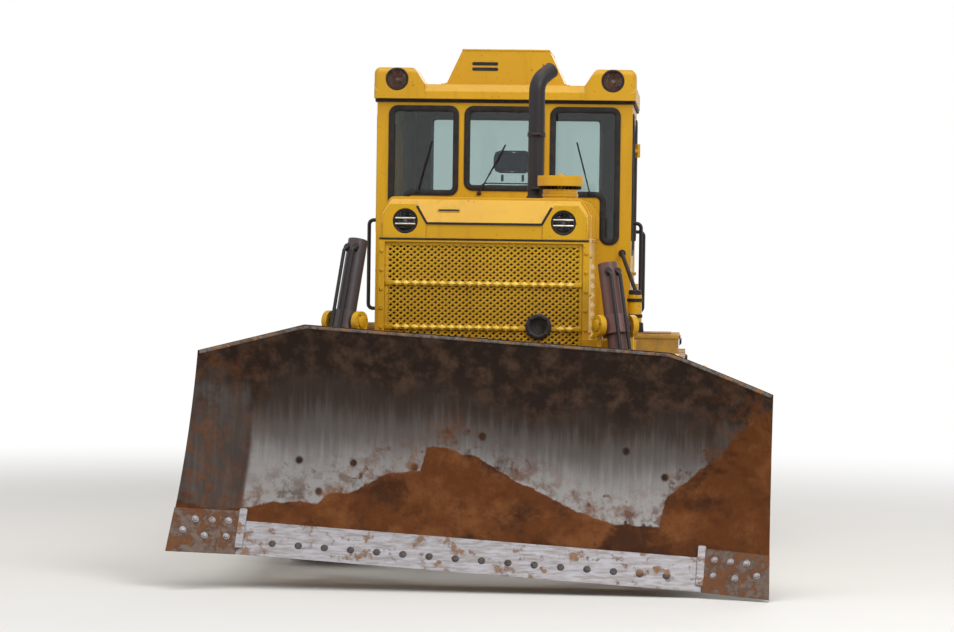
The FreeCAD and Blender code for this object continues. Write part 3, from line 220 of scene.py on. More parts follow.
def facing(origin: Numbers, normal: Numbers, up: Numbers = (0, 0, 1)) -> Array:
    """The move that lays a shape's XY plane at a point, with its Z along a normal.

    Args:
        origin: where the shape's own origin goes.
        normal: where its Z axis goes.
        up: where its Y axis goes, as nearly as the normal lets it.

    Returns:
        A 4 by 4 move with columns side, up across the normal, and normal.
    """
    z = unit(normal)
    x = np.cross(np.asarray(up, float), z)
    if np.linalg.norm(x) < 1e-6:
        x = np.cross(np.array([0.0, 1.0, 0.0]), z)
        if np.linalg.norm(x) < 1e-6:
            x = np.array([1.0, 0.0, 0.0])
    x = unit(x)
    matrix = np.eye(4)
    matrix[:3, 0], matrix[:3, 1], matrix[:3, 2] = x, np.cross(z, x), z
    matrix[:3, 3] = origin
    return matrix


def net(points: Array, round_u: bool = False, round_v: bool = False) -> Shape:
    """A surface over a grid of points, P(u, v) = points[u, v].

    Args:
        points: rows, columns and three coordinates.
        round_u, round_v: whether the last row or column joins the first.

    Returns:
        The surface, one face of four corners to each cell.
    """
    rows, columns = points.shape[:2]
    index = np.arange(rows * columns).reshape(rows, columns)
    if round_u:
        index = np.concatenate([index, index[:1]])
    if round_v:
        index = np.concatenate([index, index[:, :1]], axis=1)
    corners = [index[:-1, :-1], index[:-1, 1:], index[1:, 1:], index[1:, :-1]]
    return Shape(points.reshape(-1, 3).astype(float), np.stack([c.ravel() for c in corners], axis=1))


def capped(points: Array, both: bool = True) -> Shape:
    """Rings of points joined into a skin, with a fan of triangles over each end.

    Args:
        points: rings, points in a ring and three coordinates.
        both: whether the first ring is closed too, and not the last one alone.

    Returns:
        The closed skin; each fan meets at the middle of its ring.
    """
    skin = net(points, round_v=True)
    rings, count = points.shape[:2]
    around = np.arange(count)
    after = (around + 1) % count
    ends = [(rings - 1, False)] + ([(0, True)] if both else [])
    extra, tris = [], []
    for ring, turned in ends:
        middle = len(skin.points) + len(extra)
        extra.append(points[ring].mean(axis=0))
        first, second = around + ring * count, after + ring * count
        fan = np.stack([first, second, np.full(count, middle)], axis=1)
        tris.append(fan[:, ::-1] if turned else fan)
    return Shape(np.concatenate([skin.points, extra]), skin.quads, np.concatenate(tris)).outward()


def inset(outline: Array, amount: float) -> Array:
    """A closed outline drawn in by moving each point along the mean of its sides' normals.

    Args:
        outline: points (x, y) in a ring that runs anticlockwise.
        amount: how far in, or out where it is negative.

    Returns:
        The new ring; a mitre longer than 2.5 times the amount is held back.
    """
    before = outline - np.roll(outline, 1, axis=0)
    after = np.roll(outline, -1, axis=0) - outline
    normals = [np.stack([-side[:, 1], side[:, 0]], axis=1) for side in (before, after)]
    normals = [n / np.maximum(np.linalg.norm(n, axis=1, keepdims=True), 1e-9) for n in normals]
    total = normals[0] + normals[1]
    share = np.maximum(np.einsum("ij,ij->i", total, total) / 2, 0.16)
    return outline + total * (amount / share)[:, None]


def plate(outline: Array, depth: float, bevel: float = 0.0, steps: int = 2) -> Shape:
    """An outline carried along Z from 0 to a depth, with rounded rims.

    Each rim is a quarter circle: inset = bevel (1 - sin a), height = bevel (1 - cos a).

    Args:
        outline: points (x, y) in a ring that runs anticlockwise.
        depth: thickness along Z.
        bevel: radius of both rims.
        steps: rings in each rim.

    Returns:
        The closed shape.
    """
    rings = [(0.0, 0.0), (0.0, depth)]
    if bevel > 0:
        turns = np.linspace(0, pi / 2, steps + 1)
        low = [(bevel * (1 - sin(t)), bevel * (1 - cos(t))) for t in turns]
        rings = low + [(i, depth - z) for i, z in reversed(low)]
    layers = [np.column_stack([inset(outline, i), np.full(len(outline), z)]) for i, z in rings]
    return capped(np.stack(layers))


def rounded(corners: Places, radius: float | Numbers, steps: int = 5) -> Array:
    """A polygon whose corners are arcs that touch both sides.

    Args:
        corners: points (x, y), anticlockwise.
        radius: of every corner, or one for each.
        steps: points less one on each arc.

    Returns:
        The outline as one ring of points.
    """
    corners = np.asarray(corners, float)
    radii = np.broadcast_to(radius, len(corners))
    made = []
    for k, corner in enumerate(corners):
        to_before = unit(corners[k - 1] - corner)
        to_after = unit(corners[(k + 1) % len(corners)] - corner)
        half = acos(np.clip(to_before @ to_after, -1, 1)) / 2
        if radii[k] <= 0 or half > pi / 2 - 1e-3:
            made.append(corner[None])
            continue
        middle = corner + unit(to_before + to_after) * radii[k] / sin(half)
        start = corner + to_before * radii[k] / tan(half) - middle
        end = corner + to_after * radii[k] / tan(half) - middle
        turn = atan2(start[0] * end[1] - start[1] * end[0], start @ end)
        t = np.linspace(0, turn, steps + 1)
        arc = np.column_stack([
            start[0] * np.cos(t) - start[1] * np.sin(t), start[0] * np.sin(t) + start[1] * np.cos(t)])
        made.append(arc + middle)
    return np.concatenate(made)


def rectangle(width: float, height: float, radius: float = 0.0, steps: int = 5) -> Array:
    """A rectangle about the origin with round corners."""
    w, h = width / 2, height / 2
    return rounded([(-w, -h), (w, -h), (w, h), (-w, h)], radius, steps)


def ring(radius: float, sides: int, turn: float = 0.0) -> Array:
    """A regular polygon or circle about the origin."""
    t = turn + np.arange(sides) * 2 * pi / sides
    return np.column_stack([radius * np.cos(t), radius * np.sin(t)])


def block(low: Numbers, high: Numbers, bevel: float = 0.004) -> Shape:
    """A block between two corners with rounded edges."""
    low, high = np.asarray(low, float), np.asarray(high, float)
    size = high - low
    base = plate(rectangle(size[0], size[1], min(bevel, size[0] / 3, size[1] / 3), 2), size[2], bevel)
    return base.shifted(*(low[:2] + size[:2] / 2), low[2])


def spin(profile: Places, segments: int, least: float) -> Array:
    """The grid of points that a profile passes through as it turns about Z.

    Args:
        profile: points (radius, height).
        segments: steps round the axis.
        least: the smallest radius that is kept.

    Returns:
        Rings of points (r cos t, r sin t, h), one for each point of the profile.
    """
    profile = np.asarray(profile, float)
    t = np.arange(segments) * 2 * pi / segments
    radius, height = np.maximum(profile[:, :1], least), profile[:, 1:]
    return np.stack([radius * np.cos(t), radius * np.sin(t), np.repeat(height, segments, axis=1)], axis=2)


def turned(profile: Places, segments: int = 24) -> Shape:
    """A profile of (radius, height) turned about Z: P = (r cos t, r sin t, h).

    Args:
        profile: points from one end to the other; an end off the axis is closed by a fan.
        segments: steps round the axis.

    Returns:
        The closed shape.
    """
    return capped(spin(profile, segments, 1e-4))


def hoop(profile: Places, segments: int = 24) -> Shape:
    """A closed profile of (radius, height) turned about Z, open through its middle."""
    return net(spin(profile, segments, 0.0), round_u=True, round_v=True).outward()


def bent(points: Places, radius: float, steps: int = 6) -> Array:
    """A run through points whose corners are rounded by arcs of a radius.

    Args:
        points: the corners of the run, in space.
        radius: of every bend.
        steps: points less one on each bend.

    Returns:
        Points along the run.
    """
    points = np.asarray(points, float)
    made = [points[:1]]
    for before, corner, after in zip(points[:-2], points[1:-1], points[2:]):
        a, b = unit(before - corner), unit(after - corner)
        half = acos(np.clip(a @ b, -1, 1)) / 2
        reach = radius / tan(half)
        middle = corner + unit(a + b) * radius / sin(half)
        start, end = corner + a * reach - middle, corner + b * reach - middle
        sweep = acos(np.clip(unit(start) @ unit(end), -1, 1))
        t = np.linspace(0, 1, steps + 1)[:, None]
        arc = (np.sin((1 - t) * sweep) * start + np.sin(t * sweep) * end) / sin(sweep)
        made.append(arc + middle)
    return np.concatenate(made + [points[-1:]])


def tube(path: Array, radius: float | Array, sides: int = 12, section: Array | None = None,
         up: Numbers | None = None, closed: bool = False) -> Shape:
    """A section carried along a path: P(s, t) = path(s) + x(t) side(s) + y(t) up(s).

    The side and up directions turn with the path and don't twist about it.

    Args:
        path: points in space.
        radius: of the round section, or one for each point.
        sides: corners of the round section.
        section: points (x, y) that stand in for the circle.
        up: a fixed direction for the section's Y, as far as the path lets it.
        closed: whether the path runs back into its start.

    Returns:
        The closed shape.
    """
    path = np.asarray(path, float)
    if closed:
        tangents = np.roll(path, -1, axis=0) - np.roll(path, 1, axis=0)
    else:
        tangents = np.gradient(path, axis=0)
    tangents /= np.linalg.norm(tangents, axis=1, keepdims=True)
    if up is not None:
        across = np.cross(np.asarray(up, float), tangents)
        across /= np.linalg.norm(across, axis=1, keepdims=True)
    else:
        first = np.cross(tangents[0], (0.0, 0.0, 1.0))
        if np.linalg.norm(first) < 1e-3:
            first = np.cross(tangents[0], (1.0, 0.0, 0.0))
        across = [unit(first)]
        for tangent in tangents[1:]:
            across.append(unit(across[-1] - tangent * (across[-1] @ tangent)))
        across = np.array(across)
    upward = np.cross(tangents, across)
    outline = ring(1.0, sides) if section is None else section
    scale = np.broadcast_to(radius, len(path))[:, None, None] if section is None else 1.0
    flat = outline[None, :, :] * scale
    points = path[:, None, :] + flat[..., :1] * across[:, None, :] + flat[..., 1:] * upward[:, None, :]
    if closed:
        return net(points, round_u=True, round_v=True).outward()
    return capped(points)


def slab(front: Array, back: Array) -> Shape:
    """A sheet with thickness, between two grids of points that lie over each other.

    Args:
        front, back: rows, columns and three coordinates.

    Returns:
        Both faces and the four rims between them, as one closed shape.
    """
    rows, columns = front.shape[:2]
    size = rows * columns
    index = np.arange(size).reshape(rows, columns)
    faces = net(front).quads
    rim = np.concatenate([index[0, :], index[1:, -1], index[-1, -2::-1], index[-2:0:-1, 0]])
    after = np.roll(rim, -1)
    sides = np.stack([rim, after, after + size, rim + size], axis=1)
    quads = np.concatenate([faces, faces[:, ::-1] + size, sides[:, ::-1]])
    return Shape(np.concatenate([front.reshape(-1, 3), back.reshape(-1, 3)]), quads).outward()


def hex_head(radius: float, height: float) -> Shape:
    """A six-sided bolt head on a washer, standing on the XY plane."""
    wide = radius * 1.35
    washer = turned([(wide, -0.002), (wide, height * 0.18), (radius * 0.9, height * 0.2)], 12)
    return join([washer, plate(ring(radius, 6), height, height * 0.12, 1)])


def panel(width: float, height: float, corner: float, arc: int, depth: float, bevel: float,
          steps: int = 2) -> Shape:
    """A rectangle with round corners as a plate on the XY plane."""
    return plate(rectangle(width, height, corner, arc), depth, bevel, steps)


def strap(path: Places, width: float, thick: float, corner: float, arc: int, up: Point) -> Shape:
    """A flat bar along a path, its thickness along up."""
    return tube(path, 0.0, section=rectangle(width, thick, corner, arc), up=up)


def collar(outline: Array, rings: Sequence[tuple[float, float]]) -> Shape:
    """A profile of (inset, height) carried round an outline, open in its middle."""
    points = [np.column_stack([inset(outline, i), np.full(len(outline), z)]) for i, z in rings]
    return net(np.stack(points), round_u=True, round_v=True).outward()


def circle(middle: Numbers, radius: float, count: int, across: Point, start: float = 0.0) -> Array:
    """Places round a middle: m + r (cos t across + sin t up), t in equal steps from start."""
    t = ((start + np.arange(count)) * 2 * pi / count)[:, None]
    return np.asarray(middle) + radius * (np.cos(t) * across + np.sin(t) * (0, 0, 1))


def spun(turn: float, x: float, y: float, z: float) -> Array:
    """The move that turns by an angle about Z and then goes to x, y and z."""
    matrix = shift(x, y, z)
    matrix[:2, :2] = [[cos(turn), -sin(turn)], [sin(turn), cos(turn)]]
    return matrix


def patches(x: Array, y: Array, seed: int, octaves: int = 4) -> Array:
    """Soft random patches between 0 and 1 over a plane, from a lattice of random values.

    Each octave doubles the frequency and halves the share; between lattice points the
    value follows the curve 3 t^2 - 2 t^3 both ways.

    Args:
        x, y: places, where one unit is the coarsest patch.
        seed: picks the pattern.
        octaves: how many scales are added.

    Returns:
        One value for each place.
    """
    total, weight = np.zeros(np.broadcast(x, y).shape), 0.0
    for octave in range(octaves):
        lattice = np.random.default_rng(seed + octave).random((64, 64))
        u, v = x * 2 ** octave + 17.3, y * 2 ** octave + 9.7
        iu, iv = np.floor(u).astype(int), np.floor(v).astype(int)
        fu, fv = u - iu, v - iv
        fu, fv = fu * fu * (3 - 2 * fu), fv * fv * (3 - 2 * fv)
        corner = [lattice[(iu + a) % 64, (iv + b) % 64] for a, b in ((0, 0), (1, 0), (0, 1), (1, 1))]
        low, high = corner[0] * (1 - fu) + corner[1] * fu, corner[2] * (1 - fu) + corner[3] * fu
        total += (low * (1 - fv) + high * fv) / 2 ** octave
        weight += 1 / 2 ** octave
    return total / weight


def smooth(value: Array, low: float, high: float) -> Array:
    """0 below low, 1 above high and 3 t^2 - 2 t^3 in between."""
    t = np.clip((value - low) / (high - low), 0, 1)
    return t * t * (3 - 2 * t)


# Pieces in the scene


class Body(Enum):
    """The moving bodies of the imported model."""

    MACHINE = "machine"
    BLADE = "blade"
    BARREL_LEFT = "barrel_left"
    BARREL_RIGHT = "barrel_right"
    ROD_LEFT = "rod_left"
    ROD_RIGHT = "rod_right"
    DOOR_LEFT = "door_left_body"
    DOOR_RIGHT = "door_right_body"


class Slot(Enum):
    """The record's material slots."""

    YELLOW = "yellow_paint"
    DARK = "dark_paint"
    WORN = "worn_steel"
    EDGE = "edge_steel"
    TRACK = "track_steel"
    CYLINDER = "cylinder_paint"
    CHROME = "chrome_rod"
    GLASS = "clear_glass"
    LENS = "lamp_glass"
    RUBBER = "rubber_mount"
    CLOTH = "seat_cloth"
    PLASTIC = "dark_plastic"
    COOLER = "cooler_metal"


def put_mesh(name: str, shape: Shape, soft_angle: float = 38.0) -> bpy.types.Object:
    """Makes a mesh object at the origin out of a shape.

    Args:
        name: the piece's name.
        shape: its surface, in the frame.
        soft_angle: edges that turn more than this many degrees stay sharp.

    Returns:
        The object, in the scene.
    """
    mesh = bpy.data.meshes.new(name)
    mesh.vertices.add(len(shape.points))
    mesh.vertices.foreach_set("co", shape.points.astype(np.float32).ravel())
    corners = np.concatenate([shape.quads.ravel(), shape.tris.ravel()]).astype(np.int32)
    mesh.loops.add(len(corners))
    mesh.loops.foreach_set("vertex_index", corners)
    starts = np.concatenate([
        np.arange(len(shape.quads)) * 4, len(shape.quads) * 4 + np.arange(len(shape.tris)) * 3])
    mesh.polygons.add(len(starts))
    mesh.polygons.foreach_set("loop_start", starts.astype(np.int32))
    mesh.update(calc_edges=True)
    mesh.validate()
    for mark, values in shape.marks.items():
        mesh.attributes.new(mark, "FLOAT", "POINT").data.foreach_set("value", values.astype(np.float32))
    mesh.shade_smooth()
    mesh.set_sharp_from_angle(angle=radians(soft_angle))
    piece = bpy.data.objects.new(name, mesh)
    bpy.context.scene.collection.objects.link(piece)
    return piece


def add_piece(name: str, shape: Shape, body: Body, material: Material,
              replaces: Sequence[str] = (), soft_angle: float = 38.0) -> bpy.types.Object:
    """Makes a piece of the machine that rides on a body.

    Args:
        name: the piece's name.
        shape: its surface, in the frame.
        body: what it moves with.
        material: its finish.
        replaces: the CAD nodes that it stands for.
        soft_angle: see put_mesh.

    Returns:
        The object.
    """
    piece = put_mesh(name, shape, soft_angle)
    piece.data.materials.append(material)
    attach(piece, body.value)
    if replaces:
        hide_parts(*replaces)
    log.info("%s: %d points on %s", name, len(shape.points), body.value)
    return piece


# Finishes


class Graph:
    """Builds one material's nodes with short calls."""

    def __init__(self, name: str) -> None:
        """Starts an empty material.

        Args:
            name: the finish's name.
        """
        self.material = bpy.data.materials.new(name)
        self.material.use_nodes = True
        self.tree = self.material.node_tree
        self.tree.nodes.clear()
        self.place = self.node("TexCoord").outputs["Object"]
        self.geometry = self.node("NewGeometry")
        self.parts = self.node("SeparateXYZ", Vector=self.place)
        self.facing = self.node("SeparateXYZ", Vector=self.geometry.outputs["Normal"])
        self.height = self.parts.outputs["Z"]
        self.upward = self.facing.outputs["Z"]

    def feed(self, socket: Socket, value: object) -> None:
        """Links a socket to another one, or sets its value."""
        if isinstance(value, Socket):
            self.tree.links.new(value, socket)
        elif isinstance(value, tuple) and len(value) == 3 and socket.type == "RGBA":
            socket.default_value = (*value, 1.0)
        else:
            socket.default_value = value

    def node(self, kind: str, setup: dict[str, object] | None = None, **inputs: object) -> bpy.types.Node:
        """Adds a node.

        Args:
            kind: Blender's name for it.
            setup: its own settings.
            inputs: values or sockets by input name, with _ for a space.

        Returns:
            The node.
        """
        made = self.tree.nodes.new("ShaderNode" + kind)
        for key, value in (setup or {}).items():
            setattr(made, key, value)
        for key, value in inputs.items():
            self.feed(made.inputs[key.replace("_", " ")], value)
        return made

    def calc(self, kind: str, first: object, second: object) -> Socket:
        """One step of arithmetic, kept between 0 and 1 at its end."""
        made = self.node("Math", {"operation": kind, "use_clamp": True})
        for socket, value in zip(made.inputs, (first, second)):
            self.feed(socket, value)
        return made.outputs[0]

    def times(self, first: object, second: object) -> Socket:
        """The product of two values, kept between 0 and 1."""
        return self.calc("MULTIPLY", first, second)

    def plus(self, first: object, second: object) -> Socket:
        """The sum of two values, kept between 0 and 1."""
        return self.calc("ADD", first, second)

    def minus(self, first: object, second: object) -> Socket:
        """The first value less the second, kept between 0 and 1."""
        return self.calc("SUBTRACT", first, second)

    def most(self, first: object, second: object) -> Socket:
        """The larger of two values, kept between 0 and 1."""
        return self.calc("MAXIMUM", first, second)

    def stretched(self, x: float, y: float, z: float) -> Socket:
        """The place on the object with each axis scaled."""
        return self.node("Mapping", Vector=self.place, Scale=(x, y, z)).outputs[0]

    def noise(self, scale: float, detail: float = 4.0, rough: float = 0.55,
              along: Socket | None = None) -> Socket:
        """Soft random patches; scale is patches to the metre."""
        made = self.node("TexNoise", Vector=along or self.place, Scale=scale, Detail=detail,
                         Roughness=rough)
        return made.outputs[0]

    def band(self, value: object, low: float, high: float, start: float = 0.0,
             end: float = 1.0) -> Socket:
        """The value run smoothly from start at low to end at high."""
        made = self.node("MapRange", {"interpolation_type": "SMOOTHSTEP"})
        for key, entry in zip(range(5), (value, low, high, start, end)):
            self.feed(made.inputs[key], entry)
        return made.outputs[0]

    def mix(self, share: object, first: object, second: object) -> Socket:
        """Two colours mixed by a share of the second."""
        made = self.node("Mix", {"data_type": "RGBA"})
        for key, value in ((0, share), (6, first), (7, second)):
            self.feed(made.inputs[key], value)
        return made.outputs[2]

    def mark(self, name: str) -> Socket:
        """A value kept per point of the mesh."""
        return self.node("Attribute", {"attribute_name": name}).outputs["Fac"]

    def edges(self, radius: float) -> tuple[Socket, Socket]:
        """Where the surface is near an edge, and its normal rounded over there.

        Args:
            radius: how far from the edge counts.

        Returns:
            A share from 0 to 1, and the rounded normal.
        """
        soft = self.node("Bevel", {"samples": 4}, Radius=radius).outputs[0]
        match = self.node("VectorMath", {"operation": "DOT_PRODUCT"})
        self.feed(match.inputs[0], soft)
        self.feed(match.inputs[1], self.geometry.outputs["Normal"])
        return self.band(match.outputs["Value"], 0.97, 0.82), soft

    def bump(self, height: object, depth: float, normal: object = None) -> Socket:
        """A normal bent by a height from 0 to 1 that stands for a depth in metres."""
        made = self.node("Bump", Height=height, Distance=depth, Strength=1.0)
        if normal is not None:
            self.feed(made.inputs["Normal"], normal)
        return made.outputs[0]

    def surface(self, **inputs: object) -> Material:
        """Ends the material with a shader that takes these inputs.

        Args:
            inputs: values or sockets by the shader's input names, with _ for a space.

        Returns:
            The material.
        """
        shader = self.node("BsdfPrincipled", None, **inputs)
        end = self.node("OutputMaterial")
        self.feed(end.inputs["Surface"], shader.outputs[0])
        return self.material


EARTH = colour(104, 66, 38)
EARTH_PALE = colour(158, 124, 92)
RUST = colour(84, 44, 24)


@dataclass(frozen=True)
class Paint:
    """Enamel on sheet steel: faded in patches, streaked, dusty on top, chipped at edges.

    dust is how much of the flat tops it covers, soil_top the height up to which the
    ground's colour has splashed, and chips how readily the edges show bare metal.
    """

    name: str
    fresh: Colour
    faded: Colour
    under: Colour
    roughness: float = 0.38
    dust: float = 0.45
    soil_top: float = 1.5
    chips: float = 0.5

    def build(self) -> Material:
        """The finish as a material."""
        g = Graph(self.name)
        near_edge, soft = g.edges(0.007)
        broad = g.noise(1.1, 3.0)
        fine = g.noise(23.0, 6.0, 0.6)
        streaks = g.noise(1.0, 5.0, 0.6, g.stretched(13.0, 13.0, 1.1))
        shade = g.mix(g.band(broad, 0.35, 0.68), self.fresh, self.faded)
        shade = g.mix(g.times(g.band(streaks, 0.52, 0.75), 0.28), shade, self.under)
        worn = g.plus(g.noise(46.0, 4.0, 0.7), g.times(near_edge, 0.16 * self.chips))
        spots = g.band(g.noise(75.0, 3.0, 0.65), 0.735 - 0.03 * self.chips, 0.76)
        chipped = g.most(g.band(worn, 0.665, 0.7), spots)
        shade = g.mix(chipped, shade, g.mix(fine, RUST, colour(52, 40, 34)))
        top = g.times(g.band(g.upward, 0.45, 0.95), self.dust)
        splash = g.times(g.band(g.height, self.soil_top, self.soil_top - 0.95), 0.75)
        grime = g.times(g.most(top, splash), g.band(g.noise(6.0, 8.0, 0.65), 0.34, 0.62))
        ground = g.mix(g.noise(9.0, 5.0), EARTH, EARTH_PALE)
        shade = g.mix(grime, shade, ground)
        rough = g.plus(g.times(grime, 0.45),
                       g.band(fine, 0.3, 0.7, self.roughness - 0.05, self.roughness + 0.09))
        height = g.minus(g.times(g.noise(190.0, 2.0), g.plus(grime, 0.12)),
                        g.times(chipped, 0.25))
        normal = g.bump(height, 0.0016, soft)
        return g.surface(Base_Color=shade, Roughness=rough, Normal=normal, Coat_Weight=0.06,
                         Coat_Roughness=0.28, Specular_IOR_Level=0.3)


@dataclass(frozen=True)
class Steel:
    """Bare or cast steel: brushed or pitted, darker in patches, with soil in its hollows.

    along scales the pattern on X, Y and Z, so that a small value draws it out into
    scratches along that axis; soil is the share of the surface that soil covers.
    """

    name: str
    bright: Colour
    dull: Colour
    metal: float = 0.7
    roughness: float = 0.4
    along: Point = (1.0, 1.0, 1.0)
    soil: float = 0.3
    pits: float = 0.5
    soil_top: float = 9.0
    earth: Colour = EARTH
    earth_pale: Colour = EARTH_PALE

    def build(self) -> Material:
        """The finish as a material."""
        g = Graph(self.name)
        near_edge, soft = g.edges(0.005)
        grain = g.noise(38.0, 7.0, 0.65, g.stretched(*self.along))
        broad = g.noise(5.0, 5.0, 0.6)
        shade = g.mix(g.band(grain, 0.3, 0.7), self.dull, self.bright)
        shade = g.mix(g.times(near_edge, 0.6), shade, self.bright)
        shade = g.mix(g.band(broad, 0.62, 0.74), shade, RUST)
        low = g.band(g.height, self.soil_top, self.soil_top - 0.5)
        cover = g.plus(g.noise(11.0, 9.0, 0.68), g.times(g.band(g.upward, 0.2, 1.0), 0.1))
        soiled = g.times(g.band(cover, 0.66 - 0.3 * self.soil, 0.74 - 0.3 * self.soil), low)
        soiled = g.minus(soiled, g.times(near_edge, 0.5))
        ground = g.mix(g.noise(15.0, 5.0), self.earth, self.earth_pale)
        shade = g.mix(soiled, shade, ground)
        metal = g.times(g.minus(1.0, soiled), self.metal)
        rough = g.plus(g.times(soiled, 0.5),
                       g.band(grain, 0.25, 0.75, self.roughness - 0.08, self.roughness + 0.12))
        relief = g.plus(g.times(grain, 0.3 * self.pits), g.times(soiled, 0.6))
        relief = g.plus(relief, g.times(g.noise(160.0, 3.0), 0.35))
        return g.surface(Base_Color=shade, Roughness=rough, Metallic=metal,
                         Normal=g.bump(relief, 0.003, soft))


@dataclass(frozen=True)
class BladeSteel:
    """The blade's working face: soil, polish with painted light and patina with painted shade, kept per
    point.
    """

    name: str = "blade_steel"
    bright: Colour = colour(136, 133, 131)
    grey: Colour = colour(87, 81, 78)
    brown: Colour = colour(54, 44, 38)
    # The dark and crust colours below paint the top band: real patina, darkened further as painted shade.
    dark: Colour = colour(38, 27, 21)
    crust_and_shade: Colour = colour(74, 55, 43)
    soil: Colour = colour(98, 54, 23)
    dry_soil: Colour = colour(124, 76, 40)
    wet_soil: Colour = colour(62, 35, 18)

    def build(self) -> Material:
        """The finish as a material."""
        g = Graph(self.name)
        soil, polish, patina = g.mark("soil"), g.mark("polish"), g.mark("patina")
        streaks = g.noise(1.0, 7.0, 0.62, g.stretched(34.0, 6.0, 2.6))
        fine = g.noise(1.0, 5.0, 0.7, g.stretched(150.0, 20.0, 9.0))
        cloudy = g.noise(7.0, 6.0, 0.6)
        # Painted light: the polish mark is partly painted light, so the sheen it drives brightens the lower
        # face.
        sheen = g.plus(polish, g.times(g.minus(streaks, 0.42), 0.55))
        clean = g.mix(g.band(sheen, 0.02, 0.42), self.brown, self.grey)
        clean = g.mix(g.band(sheen, 0.35, 1.0), clean, self.bright)
        clean = g.mix(g.times(g.band(fine, 0.55, 0.8), g.times(polish, 0.22)), clean,
                      colour(190, 190, 192))
        drawn = g.noise(1.0, 6.0, 0.6, g.stretched(22.0, 5.0, 3.0))
        # Painted shade and patina: this mask takes the patina mark, which also holds painted shade under the
        # top's curl and along the folds, and spreads it with noise.
        crust_and_shade = g.plus(patina, g.times(g.minus(g.plus(cloudy, drawn), 0.9), 0.55))
        stain_and_shade = g.mix(g.band(g.noise(9.0, 7.0, 0.65), 0.42, 0.68), self.dark, self.crust_and_shade)
        shade = g.mix(g.band(crust_and_shade, 0.12, 0.95), clean, stain_and_shade)
        ground = g.mix(g.band(g.noise(5.0, 7.0, 0.65), 0.42, 0.66), self.soil, self.dry_soil)
        ground = g.mix(g.band(g.noise(2.2, 6.0, 0.7), 0.48, 0.62), ground, self.wet_soil)
        ground = g.mix(g.times(g.noise(70.0, 4.0, 0.7), 0.5), ground, self.wet_soil)
        film = g.times(g.mark("film"), g.band(g.noise(13.0, 8.0, 0.7), 0.44, 0.62))
        shade = g.mix(g.times(film, 0.75), shade, ground)
        ragged = g.times(g.minus(g.noise(34.0, 8.0, 0.75), 0.5), 1.0)
        muddy = g.band(g.plus(soil, ragged), 0.34, 0.66)
        shade = g.mix(muddy, shade, ground)
        covered = g.most(g.most(muddy, film), g.band(crust_and_shade, 0.1, 0.5))
        metal = g.times(g.minus(1.0, covered), 0.45)
        rough = g.plus(g.times(covered, 0.4), g.band(fine, 0.3, 0.8, 0.36, 0.5))
        relief = g.plus(g.times(g.noise(130.0, 5.0, 0.7), g.plus(muddy, 0.06)),
                        g.times(fine, 0.08))
        return g.surface(Base_Color=shade, Roughness=rough, Metallic=metal, Specular_IOR_Level=0.14,
                         Normal=g.bump(relief, 0.004))


@dataclass(frozen=True)
class Smooth:
    """Rubber, plastic and plated metal: one shade with grain, smears and dust on top."""

    name: str
    shade: Colour
    roughness: float
    metal: float = 0.0
    grain: float = 600.0
    depth: float = 0.0004
    dust: float = 0.3
    coat: float = 0.0
    gloss: float = 0.5

    def build(self) -> Material:
        """The finish as a material."""
        g = Graph(self.name)
        smears = g.noise(9.0, 6.0, 0.6)
        top = g.times(g.band(g.upward, 0.1, 0.9), self.dust)
        dusty = g.times(g.plus(top, self.dust * 0.4), g.band(smears, 0.35, 0.65))
        pale = tuple(min(1.0, value * 1.5 + 0.01) for value in self.shade)
        tone = g.mix(g.band(g.noise(31.0, 4.0), 0.3, 0.75), self.shade, pale)
        tone = g.mix(dusty, tone, EARTH_PALE)
        rough = g.plus(g.times(dusty, 0.5),
                       g.band(smears, 0.3, 0.7, self.roughness - 0.04, self.roughness + 0.08))
        metal = g.times(g.minus(1.0, dusty), self.metal)
        return g.surface(Base_Color=tone, Roughness=rough, Metallic=metal, Coat_Weight=self.coat,
                         Specular_IOR_Level=self.gloss, Normal=g.bump(g.noise(self.grain, 2.0), self.depth))


@dataclass(frozen=True)
class Glass:
    """Clear glass; ribs is the number of lens ribs to the metre, or 0 for a flat pane."""

    name: str
    tint: Colour
    roughness: float = 0.0
    ribs: float = 0.0

    def build(self) -> Material:
        """The finish as a material."""
        g = Graph(self.name)
        smears = g.band(g.noise(3.0, 6.0, 0.6), 0.45, 0.8, self.roughness, self.roughness + 0.06)
        inputs: dict[str, object] = {
            "Base_Color": self.tint, "Roughness": smears, "Transmission_Weight": 1.0, "IOR": 1.45}
        if self.ribs:
            wave = g.node("TexWave", {"bands_direction": "X"}, Vector=g.place,
                          Scale=self.ribs / 6.28, Distortion=0.4)
            inputs["Normal"] = g.bump(wave.outputs[1], 0.004)
        return g.surface(**inputs)


@dataclass(frozen=True)
class Cloth:
    """Woven seat cover: crossed threads, worn pale where it is sat on."""

    name: str
    thread: Colour
    worn: Colour
    threads: float = 420.0

    def build(self) -> Material:
        """The finish as a material."""
        g = Graph(self.name)
        waves = [
            g.node("TexWave", {"bands_direction": axis}, Vector=g.place,
                   Scale=self.threads / 6.28, Distortion=0.3, Detail=1.0).outputs[1]
            for axis in ("X", "Y", "Z")
        ]
        weave = g.most(g.times(waves[0], waves[1]), g.times(waves[0], waves[2]))
        rubbed = g.band(g.noise(8.0, 5.0), 0.42, 0.75)
        shade = g.mix(g.times(rubbed, 0.5), self.thread, self.worn)
        shade = g.mix(g.times(weave, 0.35), shade, self.worn)
        relief = g.plus(g.times(weave, 0.6), g.times(g.noise(90.0, 3.0), 0.3))
        return g.surface(Base_Color=shade, Roughness=0.9, Sheen_Weight=0.35, Sheen_Roughness=0.5,
                         Normal=g.bump(relief, 0.0009))


